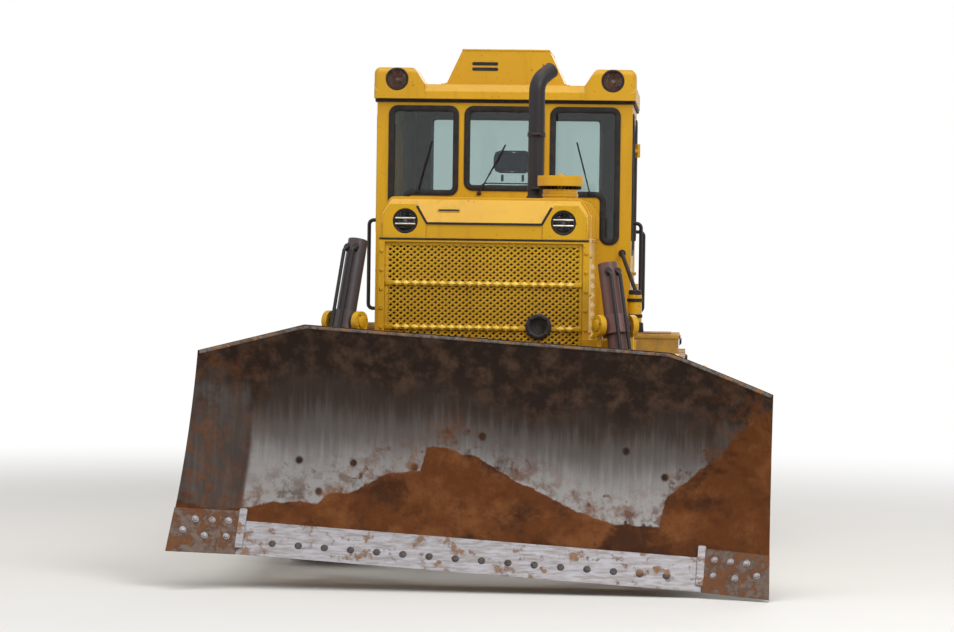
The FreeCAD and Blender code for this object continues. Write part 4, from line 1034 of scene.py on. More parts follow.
class Palette:
    """Every finish of the machine, built once."""

    def __init__(self) -> None:
        """Builds the materials."""
        self.by_slot: dict[Slot, Material] = {
            Slot.YELLOW: Paint("yellow_enamel", colour(207, 158, 20), colour(196, 147, 24),
                               colour(142, 98, 17), dust=0.14).build(),
            Slot.DARK: Paint("black_enamel", colour(27, 22, 26), colour(38, 32, 34), colour(20, 16, 17),
                             roughness=0.5, dust=0.3, soil_top=1.2, chips=0.5).build(),
            Slot.WORN: Steel("worn_steel", colour(120, 112, 106), colour(66, 50, 42), metal=0.45,
                             roughness=0.5, soil=0.55).build(),
            Slot.EDGE: Steel("edge_steel", colour(160, 158, 164), colour(119, 112, 108), metal=0.3,
                             roughness=0.42, along=(0.25, 1.0, 1.6), soil=0.24, pits=0.15).build(),
            Slot.TRACK: Steel("track_steel", colour(150, 138, 128), colour(88, 74, 64), metal=0.5,
                              roughness=0.48, soil=0.62, pits=0.8).build(),
            Slot.CYLINDER: Paint("cylinder_enamel", colour(56, 48, 50), colour(82, 62, 60),
                                 colour(40, 32, 30), roughness=0.36, dust=0.35, soil_top=1.2,
                                 chips=0.6).build(),
            Slot.CHROME: Smooth("chrome", colour(205, 205, 210), 0.14, 1.0, 220.0, 0.0001, 0.25).build(),
            Slot.GLASS: Glass("pane_glass", colour(196, 210, 208)).build(),
            Slot.LENS: Glass("lens_glass", colour(226, 230, 232), 0.04, 260.0).build(),
            Slot.RUBBER: Smooth("rubber", colour(19, 18, 20), 0.62, 0.0, 420.0, 0.0006, 0.07,
                                gloss=0.25).build(),
            Slot.CLOTH: Cloth("seat_cloth", colour(24, 34, 66), colour(58, 70, 104)).build(),
            Slot.PLASTIC: Smooth("grained_plastic", colour(30, 30, 33), 0.5, 0.0, 900.0, 0.0007,
                                 0.35).build(),
            Slot.COOLER: Steel("cooler_fins", colour(96, 94, 92), colour(44, 42, 40), metal=0.4,
                               roughness=0.5, along=(30.0, 1.0, 1.0), soil=0.45).build(),
        }
        self.blade = BladeSteel().build()
        self.corner = Steel("corner_steel", colour(104, 84, 70), colour(62, 45, 36), metal=0.2,
                            roughness=0.55, soil=0.5, pits=0.4, earth=colour(86, 50, 27),
                            earth_pale=colour(120, 78, 48)).build()
        self.dusty_yellow = Paint("dusty_enamel", colour(190, 146, 34), colour(176, 136, 48),
                                  colour(136, 98, 30),
                                  roughness=0.5, dust=0.95, soil_top=2.1, chips=0.6).build()
        # Rust and painted light: a browner copy of the cylinder enamel for the left barrel, for its rust. It
        # is also lighter and pinker as painted sunlight on its side.
        self.sunlit_rusty_cylinder = Paint("sunlit_rusty_enamel", colour(92, 62, 54), colour(112, 78, 76), colour(58, 38, 32),
                                   roughness=0.4, dust=0.35, soil_top=1.4, chips=0.7).build()
        self.warm_reflector = Smooth("warm_reflector", colour(140, 84, 56), 0.3, 0.7, 60.0, 0.0002,
                                     0.2).build()
        self.bolt = Steel("bolt_steel", colour(78, 72, 70), colour(40, 34, 32), metal=0.5, roughness=0.5,
                          soil=0.2).build()
        self.reflector = Smooth("reflector", colour(225, 225, 220), 0.2, 1.0, 60.0, 0.0002, 0.15).build()
        self.bulb = Smooth("bulb_glass", colour(236, 196, 150), 0.2, 0.0, 60.0, 0.0001, 0.1).build()
        self.red_lens = Smooth("red_lens", colour(150, 22, 16), 0.22, 0.0, 240.0, 0.0006, 0.3, 0.6).build()
        self.gauge_face = Smooth("gauge_face", colour(12, 12, 13), 0.4, 0.0, 300.0, 0.0001, 0.1).build()
        self.gauge_mark = Smooth("gauge_mark", colour(225, 222, 210), 0.5, 0.0, 300.0, 0.0001, 0.15).build()
        self.mesh_paint = Paint("mesh_enamel", colour(206, 160, 26), colour(190, 144, 28),
                                colour(136, 98, 18), dust=0.2, soil_top=1.3, chips=0.25).build()
        # Painted highlight: a paler copy of the yellow enamel for the grille's raised teeth, so that they
        # read as lit dots.
        self.highlight_yellow = Paint("highlight_enamel", colour(248, 220, 116), colour(242, 206, 84),
                                 colour(214, 164, 40), dust=0.2, soil_top=1.0, chips=0.3).build()

    def of(self, slot: Slot) -> Material:
        """The material for a slot."""
        return self.by_slot[slot]


def dress_frame(frame: dict[str, object], palette: Palette) -> None:
    """Gives every CAD node the finish of its slot in the record.

    Args:
        palette: the finishes.
    """
    for part in frame["record"]["subparts"]:
        mesh = frame["nodes"][part["node"]].data
        mesh.materials.clear()
        mesh.materials.append(palette.of(Slot(part["material_slot"])))
    frame["nodes"]["end_bits"].data.materials[0] = palette.corner
    # The left barrel takes the copy of the cylinder enamel painted as rusty and sunlit.
    frame["nodes"]["lift_barrel_left"].data.materials[0] = palette.sunlit_rusty_cylinder
    for node in ("fender_left", "fender_right", "fender_boxes"):
        frame["nodes"][node].data.materials[0] = palette.dusty_yellow


@dataclass
class Datum:
    """The machine's zero line along Y, taken from the radiator guard's front."""

    guard_front: float = -1.86

    def __post_init__(self) -> None:
        """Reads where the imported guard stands."""
        self.y0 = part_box("radiator_guard")[0].y - self.guard_front

    def at(self, x: float, y: float, z: float) -> Array:
        """A point of the machine in the frame."""
        return np.array([x, y + self.y0, z])


# Floor, lights and camera


@dataclass
class Stage:
    """A pale floor, a pale surround and soft lamps."""

    floor_radius: float = 400.0
    floor_shade: Colour = colour(226, 224, 220)
    surround: Colour = (1.0, 1.0, 1.0)
    world_strength: float = 0.4
    fade_from: float = 4.5
    fade_to: float = 11.0

    def build_floor(self) -> None:
        """Lays the floor: a disc just below the lowest point, that fades into the white beyond it."""
        t = np.linspace(0, 2 * pi, 97)[:-1]
        radii = np.array([0.01, 6.0, 30.0, self.floor_radius])[:, None]
        points = np.stack([radii * np.cos(t), radii * np.sin(t), np.full((4, 96), -0.002)], axis=2)
        floor = put_mesh("floor", net(points, round_v=True))
        g = Graph("floor_plaster")
        shade = g.mix(g.noise(0.7, 3.0), self.floor_shade, tuple(value * 0.96 for value in self.floor_shade))
        away = g.node("VectorMath", {"operation": "LENGTH"})
        g.feed(away.inputs[0], g.place)
        far = g.band(away.outputs["Value"], self.fade_from, self.fade_to)
        path = g.node("LightPath")
        seen = g.most(path.outputs["Is Camera Ray"],
                      g.most(path.outputs["Is Glossy Ray"], path.outputs["Is Transmission Ray"]))
        white = g.node("Emission", None, Color=(1.0, 1.0, 1.0), Strength=1.0)
        plaster = g.node("BsdfPrincipled", None, Base_Color=shade, Roughness=0.85)
        blend = g.node("MixShader")
        for socket, value in zip(blend.inputs, (g.times(far, seen), plaster.outputs[0], white.outputs[0])):
            g.feed(socket, value)
        g.feed(g.node("OutputMaterial").inputs["Surface"], blend.outputs[0])
        floor.data.materials.append(g.material)

    def build_world(self) -> None:
        """Lights everything evenly; what the camera and reflections see is white."""
        world = bpy.data.worlds.new("surround")
        bpy.context.scene.world = world
        world.use_nodes = True
        tree = world.node_tree
        tree.nodes.clear()
        path = tree.nodes.new("ShaderNodeLightPath")
        seen = path.outputs["Is Camera Ray"]
        for kind in ("Is Glossy Ray", "Is Transmission Ray"):
            either = tree.nodes.new("ShaderNodeMath")
            either.operation = "MAXIMUM"
            tree.links.new(seen, either.inputs[0])
            tree.links.new(path.outputs[kind], either.inputs[1])
            seen = either.outputs[0]
        strength = tree.nodes.new("ShaderNodeMapRange")
        strength.inputs["To Min"].default_value = self.world_strength
        strength.inputs["To Max"].default_value = 1.0
        tree.links.new(seen, strength.inputs["Value"])
        background = tree.nodes.new("ShaderNodeBackground")
        background.inputs["Color"].default_value = (*self.surround, 1.0)
        tree.links.new(strength.outputs[0], background.inputs["Strength"])
        end = tree.nodes.new("ShaderNodeOutputWorld")
        tree.links.new(background.outputs[0], end.inputs["Surface"])

    def add_lamp(self, name: str, place: Point, target: Point, size: float, power: float) -> None:
        """A square lamp that looks at a point.

        Args:
            name: the lamp's name.
            place: where it hangs.
            target: what it looks at.
            size: its side in metres.
            power: in watts.
        """
        light = bpy.data.lights.new(name, "AREA")
        light.shape = "SQUARE"
        light.size = size
        light.energy = power
        lamp = bpy.data.objects.new(name, light)
        lamp.location = place
        lamp.rotation_mode = "QUATERNION"
        lamp.rotation_quaternion = (Vector(target) - Vector(place)).to_track_quat("-Z", "Y")
        bpy.context.scene.collection.objects.link(lamp)

    def build(self) -> None:
        """Makes the floor, the surround and the lamps."""
        self.build_floor()
        self.build_world()
        middle = (0.0, 0.0, 1.2)
        self.add_lamp("key_lamp", (6.0, -9.0, 8.5), middle, 6.0, 750.0)
        self.add_lamp("top_lamp", (-1.0, -3.5, 12.0), middle, 8.0, 620.0)
        self.add_lamp("fill_lamp", (-10.0, -8.0, 4.0), middle, 8.0, 220.0)
        self.add_lamp("back_lamp", (4.0, 12.0, 8.0), middle, 7.0, 420.0)


@dataclass
class Viewpoint:
    """The camera: where the photograph was taken from, with a longer lens.

    Yaw turns from the rear direction towards the machine's left and pitch from the
    horizon, both in degrees.
    """

    x: float = 1.234
    y: float = -20.997
    z: float = 1.964
    yaw: float = -13.44
    pitch: float = -1.65
    roll: float = 0.54
    wide_focus: float = 850.0
    frame_middle: tuple[float, float] = (477.0, 316.0)
    aim: tuple[float, float] = (621.5, 312.5)
    lens: float = 122.5

    def build(self, datum: Datum) -> None:
        """Places the camera and turns it to the pixel at the middle of the machine.

        Args:
            datum: the machine's zero line.
        """
        yaw, pitch, roll = (radians(angle) for angle in (self.yaw, self.pitch, self.roll))
        forward = np.array([sin(yaw) * cos(pitch), cos(yaw) * cos(pitch), sin(pitch)])
        side = np.array([cos(yaw), -sin(yaw), 0.0])
        up = np.cross(side, forward)
        level_side = cos(roll) * side + sin(roll) * up
        level_up = -sin(roll) * side + cos(roll) * up
        across = (self.aim[0] - self.frame_middle[0]) / self.wide_focus
        above = (self.frame_middle[1] - self.aim[1]) / self.wide_focus
        look = unit(forward + level_side * across + level_up * above)
        right = unit(np.cross(look, level_up))
        turn = np.column_stack([right, np.cross(right, look), -look])
        data = bpy.data.cameras.new("camera")
        data.lens = self.lens
        data.sensor_width = 36.0
        data.clip_end = 2000.0
        camera = bpy.data.objects.new("camera", data)
        place = Matrix.Translation(Vector(datum.at(self.x, self.y, self.z)))
        camera.matrix_world = place @ Matrix(turn.tolist()).to_4x4()
        bpy.context.scene.collection.objects.link(camera)
        bpy.context.scene.camera = camera


# The machine's sub-assemblies


@dataclass
class Assembly:
    """A group of pieces that share the machine's zero line and its finishes."""

    datum: Datum
    palette: Palette

    def put(self, name: str, shape: Shape | Sequence[Shape], slot: Slot, material: Material | None = None,
            replaces: Sequence[str] = (), body: Body = Body.MACHINE,
            soft_angle: float = 38.0) -> bpy.types.Object:
        """Adds a piece whose shape is written from the machine's own zero line.

        Args:
            name, slot, replaces, body, soft_angle: see add_piece.
            shape: its surface, or several to be joined.
            material: its finish, or None for the slot's own.

        Returns:
            The object.
        """
        shape = (shape if isinstance(shape, Shape) else join(shape)).shifted(y=self.datum.y0)
        return add_piece(name, shape, body, material or self.palette.of(slot), replaces, soft_angle)

    def build(self) -> None:
        """Runs the sub-assembly's own build_ methods in the order in which they are written."""
        for step in [name for name in vars(type(self)) if name.startswith("build_")]:
            getattr(self, step)()


@dataclass
class Blade(Assembly):
    """The blade's working face, its edge bolts and corner tabs."""

    low_half: float = 1.685
    corner_half: float = 1.63
    corner_z: float = 1.12
    top_half: float = 1.04
    height: float = 1.31
    fold: float = 1.31
    wing_angle: float = radians(18.0)
    tip_y: float = -2.9
    bevel_height: float = 0.24
    bevel_angle: float = radians(32.0)
    bowl: tuple[float, float] = (-2.612, 0.72)
    top_y: float = -2.715
    sheet: float = 0.016
    sheet_low: float = 0.06
    tilt: float = radians(3.49)
    rest_height: float = 0.113
    edge_thick: float = 0.022
    bit_thick: float = 0.032
    edge_top: float = 0.17
    columns: int = 340
    rows: int = 120
    bolt_pitch: float = 0.148
    stud_places: Pairs = (
        (0.06, 0.19), (0.15, 0.19), (0.24, 0.19), (0.06, 0.09), (0.18, 0.09), (0.3, 0.12))
    soil_line: Pairs = (
        (-1.7, 0.1), (-1.31, 0.08), (-0.89, 0.13), (-0.82, 0.23), (-0.655, 0.28), (-0.327, 0.35),
        (-0.3, 0.476), (-0.14, 0.47), (-0.02, 0.457), (0.14, 0.38), (0.33, 0.3), (0.56, 0.196),
        (0.8, 0.16), (1.05, 0.164), (1.076, 0.31), (1.19, 0.42), (1.26, 0.52), (1.38, 0.63), (1.55, 0.82),
        (1.7, 0.9))
    stains: Pairs = (
        (-1.02, 0.365), (-0.71, 0.373), (-0.36, 0.375), (-0.89, 0.2), (0.01, 0.58), (0.83, 0.56),
        (1.06, 0.43))

    def __post_init__(self) -> None:
        """Works out the outline's slope and the move that tilts the blade and lifts it to its rest height."""
        self.slope = (self.height - self.corner_z) / (self.corner_half - self.top_half)
        self.rest = shift(z=self.rest_height)
        self.rest[0, 0], self.rest[0, 2] = cos(self.tilt), sin(self.tilt)
        self.rest[2, 0], self.rest[2, 2] = -sin(self.tilt), cos(self.tilt)

    def outline_top(self, x: Array) -> Array:
        """Height of the sheet's upper outline, which falls beyond the flat middle."""
        return self.height - np.maximum(np.abs(x) - self.top_half, 0) * self.slope

    def section(self, z: Array) -> Array:
        """Depth of the face at a height: a straight bevel, then the arc through three points.

        Args:
            z: heights above the lower edge.

        Returns:
            The depth along Y, for the middle of the blade.
        """
        lean = tan(self.bevel_angle)
        knee = np.array([self.tip_y + self.bevel_height * lean, self.bevel_height])
        middle, top = np.array(self.bowl), np.array([self.top_y, self.height])
        centre = np.linalg.solve(2 * np.array([middle - knee, top - knee]),
                                 [middle @ middle - knee @ knee, top @ top - knee @ knee])
        radius = np.linalg.norm(knee - centre)
        arc = centre[0] + np.sqrt(np.maximum(radius ** 2 - (z - centre[1]) ** 2, 0))
        return np.where(z < self.bevel_height, self.tip_y + z * lean, arc)

    def face_point(self, x: Array, z: Array) -> Array:
        """Points of the face, with the ends folded forward beyond the fold line."""
        y = self.section(z) - np.maximum(np.abs(x) - self.fold, 0) * tan(self.wing_angle)
        return np.stack(np.broadcast_arrays(x, y, z), axis=-1)

    def build_face(self) -> None:
        """The mouldboard's skin, with stuck soil standing proud of it.

        x runs over the outline's width at each height, z from the sheet's foot to the
        outline's top, and the front grid is moved out along Y by the soil. Four marks
        per point tell the finish where soil and its film lie, where the steel is polished,
        brightened towards the bottom as painted light, and where patina lies, darkened
        further as painted shade under the top's curl and along the folds.
        """
        a, b = np.linspace(-1, 1, self.columns)[:, None], np.linspace(0, 1, self.rows)[None, :]
        z = self.sheet_low + b * (self.outline_top(a * self.corner_half) - self.sheet_low)
        x = a * (self.low_half - (self.low_half - self.corner_half) * np.minimum(z, self.corner_z)
                 / self.corner_z)
        places, heights = zip(*self.soil_line)
        ragged = patches(x * 3.1, z * 3.1, 11, 5) - 0.5
        below = np.interp(x, places, heights) + self.edge_top - z + ragged * 0.16
        clods = patches(x * 9.0, z * 9.0, 23, 5)
        drips = smooth(patches(x * 7.0, z * 1.6, 31, 4), 0.6, 0.7) * smooth(below, -0.3, -0.02)
        specks = smooth(patches(x * 16.0, z * 16.0, 47, 3), 0.7, 0.76) * smooth(below, -0.55, -0.05)
        soil = np.maximum(smooth(below, -0.03, 0.03), 0.5 * np.maximum(drips, specks))
        film = np.maximum(smooth(below, -0.3, 0.02),
                          0.85 * smooth(np.abs(x), self.fold - 0.25, self.low_half))
        wing = smooth(np.abs(x), self.fold - 0.01, self.fold + 0.02)
        cloudy = patches(x * 2.3, z * 2.3, 71, 5) - 0.5
        # Wear and painted light: the polish mark is real scouring by soil. It also fades with height, so the
        # upturned lower bowl is painted brighter and the upper face darker.
        polish = (1 - smooth(z + 0.14 * cloudy, 0.38, 0.95)) * (1 - wing) + 0.22 * wing
        # Painted shadow: a narrow dark band along each fold line, rising from the lower face and added to the
        # patina mark.
        fold_shadow = np.exp(-((np.abs(x) - self.fold) / 0.022) ** 2) * smooth(z, 0.25, 0.5)
        # Patina and painted shade: the top of the face, under its forward curl, is darkened for its patina
        # and also for the shade that falls there.
        upper = smooth(z + 0.34 * cloudy - 0.04 * np.abs(x), 0.7, 1.12)
        patina = np.maximum(upper, 0.36 * wing) + 0.4 * fold_shadow
        for place, height in self.stains:
            patina = patina + np.exp(-(np.hypot(x - place, z - height - self.edge_top) / 0.024) ** 4)
        front, back = self.face_point(x, z), self.face_point(x, z)
        front[..., 1] -= soil ** 2 * (0.003 + 0.02 * smooth(clods, 0.35, 0.75) * smooth(below, -0.01, 0.07))
        back[..., 1] += self.sheet
        marks = {"soil": soil, "polish": polish, "patina": patina, "film": film}
        marks = {name: np.concatenate([value.ravel(), np.zeros(value.size)]) for name, value in marks.items()}
        shape = slab(front, back).marked(**marks).moved(self.rest)
        self.put("blade_skin", shape, Slot.WORN, self.palette.blade, ("moldboard",), Body.BLADE)

    def on_edge(self, x: float, up: float, out: float) -> Array:
        """The move that stands a bolt on the edge's outer face.

        Args:
            x: place along the blade.
            up: distance up the bevel from the tip.
            out: distance of the face in front of the bevel.

        Returns:
            A 4 by 4 move whose Z points out of the face.
        """
        rise, deep = sin(self.bevel_angle), cos(self.bevel_angle)
        past = max(abs(x) - self.fold, 0) * tan(self.wing_angle)
        place = (x, self.tip_y - past + up * rise - out * deep, up * deep + out * rise)
        turn = copysign(self.wing_angle, x) if abs(x) > self.fold else 0.0
        return facing(place, (-sin(turn) * deep, -cos(turn) * deep, rise))

    def build_bolts(self) -> None:
        """Plough bolts along the edge, brighter ones on the corner bits and a tab beside each."""
        count = int(self.fold / self.bolt_pitch) * 2
        row = [self.on_edge(x, 0.07, self.edge_thick)
               for x in (np.arange(count) - (count - 1) / 2) * self.bolt_pitch]
        studs = [self.on_edge(side * (self.fold + step), up, self.bit_thick)
                 for side in (-1, 1) for step, up in self.stud_places]
        tabs = [self.on_edge(side * (self.fold - 0.012), 0.148, self.edge_thick - 0.002) for side in (-1, 1)]
        head = turned([(0.021, -0.004), (0.021, 0.0015), (0.017, 0.004), (0.006, 0.005)], 14)
        tab = panel(0.046, 0.25, 0.01, 3, 0.014, 0.003, 1)
        for name, shape, moves, finish in (("edge_bolts", head, row, self.palette.bolt),
                                           ("corner_bolts", hex_head(0.015, 0.012), studs, None),
                                           ("corner_tabs", tab, tabs, None)):
            self.put(name, shape.repeated(moves).moved(self.rest), Slot.EDGE, finish, body=Body.BLADE)

    def build_rim(self) -> None:
        """A worn flat bar along the top and the ends of the sheet."""
        x = np.linspace(-1, 1, 61) * (self.corner_half - 0.007)
        path = self.face_point(x, self.outline_top(x) - 0.012) + np.array([0, self.sheet / 2, 0])
        bar = strap(path, self.sheet + 0.006, 0.022, 0.004, 2, (0, 0, 1))
        self.put("blade_rim", bar.moved(self.rest), Slot.WORN, body=Body.BLADE)


@dataclass
class Grille(Assembly):
    """The woven grille, teeth on its ribs, the crank boss's rim and the guard's bolts."""

    plate_front: float = -1.842
    rib_out: float = 0.01
    rib_levels: tuple[float, float] = (1.457, 1.717)
    rib_half: float = 0.014
    half_width: float = 0.587
    low: float = 0.99
    high: float = 1.96
    plate_thick: float = 0.01
    border: float = 0.022
    strand_pitch: float = 0.041
    strand_rise: float = 0.8
    strand_width: float = 0.0125
    strand_thick: float = 0.006
    pitch: float = 0.054
    crank: tuple[float, float] = (0.33, 1.47)
    crank_outer: float = 0.075
    crank_inner: float = 0.048
    guard_front: float = -1.86
    guard_half: float = 0.625
    guard_low: float = 0.88
    guard_high: float = 1.985

    def strands(self, low: float, high: float, rise: float, depth: float) -> Shape:
        """Parallel diagonal strands across one field of the grille, broken at the crank boss.

        A strand is the line z - z0 = rise (x - x0), cut to the field's rectangle and to
        the outside of the boss's circle.

        Args:
            low, high: the field's lower and upper edge.
            rise: height gained per metre across, negative for the other family.
            depth: how far behind the plate's front the strands lie.

        Returns:
            All the strands as flat bars.
        """
        half, span = self.half_width - self.border, (high - low) / abs(rise)
        count = int((2 * half + span) / self.strand_pitch)
        start = (np.arange(count) + 0.5) * self.strand_pitch - half - span
        x = np.clip([start, start + span], -half, half)
        run = (x - start) * abs(rise)
        first, last = np.stack([x, low + run if rise > 0 else high - run], axis=-1)
        length = np.linalg.norm(last - first, axis=1)
        kept = length > 0.02
        first, last, reach = first[kept], last[kept], length[kept]
        along = (last - first) / reach[:, None]
        centre = np.array(self.crank) - first
        middle = (centre * along).sum(axis=1)
        off = np.abs(centre[:, 0] * along[:, 1] - centre[:, 1] * along[:, 0])
        chord = np.sqrt(np.maximum((self.crank_outer - 0.004) ** 2 - off ** 2, 0))
        broken = (chord > 0) & (middle + chord > 0) & (middle - chord < reach)
        near = np.where(broken, middle - chord, reach)
        ends = [(first, first + along * near[:, None], near > 0.01),
                (first + along * (middle + chord)[:, None], last, broken & (middle + chord < reach - 0.01))]
        starts, stops = (np.concatenate([end[k][end[2]] for end in ends]) for k in (0, 1))
        step = unit_rows(stops - starts)
        side = np.column_stack([-step[:, 1], step[:, 0]]) * self.strand_width / 2
        corners = np.stack([starts - side, stops - side, stops + side, starts + side], axis=1)
        front = self.plate_front + depth
        points = np.concatenate([np.insert(corners, 1, front + y, axis=2) for y in (0.0, self.strand_thick)],
                                axis=1)
        faces = np.array([(0, 1, 2, 3), (7, 6, 5, 4), (0, 4, 5, 1), (1, 5, 6, 2), (2, 6, 7, 3), (3, 7, 4, 0)])
        every = (np.arange(len(corners)) * 8)[:, None, None] + faces
        return Shape(points.reshape(-1, 3), every.reshape(-1, 4))

    def build_lattice(self) -> None:
        """The grille: woven strands in three fields, their border, two ribs and the boss."""
        lower, upper = self.rib_levels
        edges = [self.low + self.border, lower - self.rib_half, lower + self.rib_half,
                 upper - self.rib_half, upper + self.rib_half, self.high - self.border]
        pieces = [self.strands(low - 0.003, high + 0.003, rise, depth)
                  for low, high in zip(edges[::2], edges[1::2])
                  for rise, depth in ((self.strand_rise, 0.0), (-self.strand_rise, 0.003))]
        front, back, wide = self.plate_front, self.plate_front + self.plate_thick, self.half_width
        inner = wide - self.border
        for x0, x1, z0, z1 in ((-wide, wide, self.low, edges[0]), (-wide, wide, edges[-1], self.high),
                               (-wide, -inner, edges[0] - 0.001, edges[-1] + 0.001),
                               (inner, wide, edges[0] - 0.001, edges[-1] + 0.001)):
            pieces.append(block((x0, front, z0), (x1, back, z1), 0.001))
        reach = sqrt(self.crank_outer ** 2 - (lower - self.crank[1]) ** 2) - 0.003
        for level, x0, x1 in ((upper, -wide, wide), (lower, -wide, self.crank[0] - reach),
                              (lower, self.crank[0] + reach, wide)):
            pieces.append(block((x0 + 0.001, front - self.rib_out, level - self.rib_half),
                                (x1 - 0.001, back, level + self.rib_half), 0.003))
        boss = hoop([(self.crank_inner, 0.012), (self.crank_outer - 0.002, 0.012), (self.crank_outer, 0.01),
                     (self.crank_outer, -self.plate_thick), (self.crank_inner, -self.plate_thick)], 40)
        pieces.append(boss.on((self.crank[0], front, self.crank[1]), AHEAD))
        self.put("grille_lattice", pieces, Slot.YELLOW, self.palette.mesh_paint, ("grille",))

    def build_teeth(self) -> None:
        """A row of raised diamonds along each rib, in a paler enamel as a painted highlight."""
        tooth = turned([(0.027, 0.0), (0.024, 0.006), (0.011, 0.015), (0.002, 0.016)], 4)
        tooth = tooth.moved(np.diag([1.0, 0.72, 1.0, 1.0]))
        count = int(2 * (self.half_width - 0.03) / self.pitch)
        places = [(x, self.plate_front - self.rib_out, level) for level in self.rib_levels
                  for x in (np.arange(count) - (count - 1) / 2) * self.pitch
                  if hypot(x - self.crank[0], level - self.crank[1]) > self.crank_outer + 0.02]
        self.put("grille_teeth", tooth.on_each(places, AHEAD), Slot.YELLOW, self.palette.highlight_yellow)

    def build_crank(self) -> None:
        """The starting handle's boss: a rim round the bore and four bolts."""
        x, z = self.crank
        wide, bore, front = self.crank_outer, self.crank_inner, self.plate_front - 0.012
        rim = hoop([(wide, -0.002), (wide + 0.002, 0.004), (wide - 0.006, 0.01), (bore + 0.008, 0.01),
                    (bore, 0.006), (bore - 0.002, -0.03), (bore + 0.004, -0.03), (bore + 0.004, -0.002)], 32)
        bolts = hex_head(0.008, 0.006).on_each(circle((x, front - 0.01, z), 0.063, 4, LEFT, 0.5), AHEAD)
        self.put("crank_rim", [rim.on((x, front, z), AHEAD), bolts], Slot.DARK)

    def build_guard_bolts(self) -> None:
        """Bolts down the front and the sides of both posts of the guard."""
        moves = []
        for side in (-1, 1):
            moves += [facing((side * (self.guard_half - 0.019), self.guard_front, z), AHEAD)
                      for z in np.linspace(self.guard_low + 0.12, self.guard_high - 0.08, 9)]
            moves += [facing((side * self.guard_half, self.guard_front + dy, z), (side, 0, 0))
                      for dy in (0.07, 0.3)
                      for z in np.linspace(self.guard_low + 0.1, self.guard_high - 0.1, 5)]
        self.put("guard_bolts", hex_head(0.009, 0.007).repeated(moves), Slot.YELLOW)


@dataclass
class Lamps(Assembly):
    """Recessed lamps in the nose and under the roof's raised corners."""

    nose: Point = (0.468, -1.85, 2.084)
    roof: Point = (0.7, 0.014, 3.016)
    radius: float = 0.0735
    depth: float = 0.058

    def build_lamps(self) -> None:
        """A casing, a reflector r = R sqrt(h), a bulb and a lens in each lamp, and bars on the nose's."""
        r, back, h = self.radius, 0.002 - self.depth, np.linspace(0.0, 1.0, 9)
        casing = hoop([
            (r - 0.016, -0.004), (r - 0.014, 0.004), (r - 0.004, 0.006), (r, 0.001), (r, back), (0.003, back),
            (0.003, back + 0.004), (r - 0.006, back + 0.006), (r - 0.006, -0.012), (r - 0.014, -0.012)], 36)
        inner = np.column_stack([0.057 * np.sqrt(h) + 0.0005, -0.046 + 0.036 * h])
        outer = np.column_stack([0.06 * np.sqrt(h) + 0.0005, -0.05 + 0.038 * h])[::-1]
        bulb = turned([(0.001, -0.04), (0.008, -0.038), (0.01, -0.03), (0.006, -0.022), (0.001, -0.02)], 12)
        lens = turned([(0.001, -0.002), (0.03, -0.003), (0.05, -0.005), (0.0585, -0.009), (0.0585, -0.0105),
                       (0.05, -0.0085), (0.001, -0.006)], 32)
        rods = []
        for z in (-0.017, 0.017):
            half = sqrt((r - 0.012) ** 2 - z ** 2)
            rods.append(tube([(-half, z, 0.001), (0.0, z, 0.006), (half, z, 0.001)], 0.0055, 8))
        for name, (x, y, z), silver in (("nose_lamp", self.nose, self.palette.gauge_face),
                                        ("roof_lamp", self.roof, self.palette.warm_reflector)):
            moves = [facing((side * x, y, z), AHEAD) for side in (-1, 1)]
            replaced = ("front_lamps",) if name == "nose_lamp" else ("roof_lamps",)
            self.put(name + "_casings", casing.repeated(moves), Slot.RUBBER, replaces=replaced)
            self.put(name + "_reflectors", hoop(np.concatenate([inner, outer]), 28).repeated(moves),
                     Slot.LENS, silver)
            self.put(name + "_bulbs", bulb.repeated(moves), Slot.LENS, self.palette.bulb)
            self.put(name + "_lenses", lens.repeated(moves), Slot.LENS)
            if name == "nose_lamp":
                self.put(name + "_bars", join(rods).repeated(moves), Slot.LENS, self.palette.reflector)


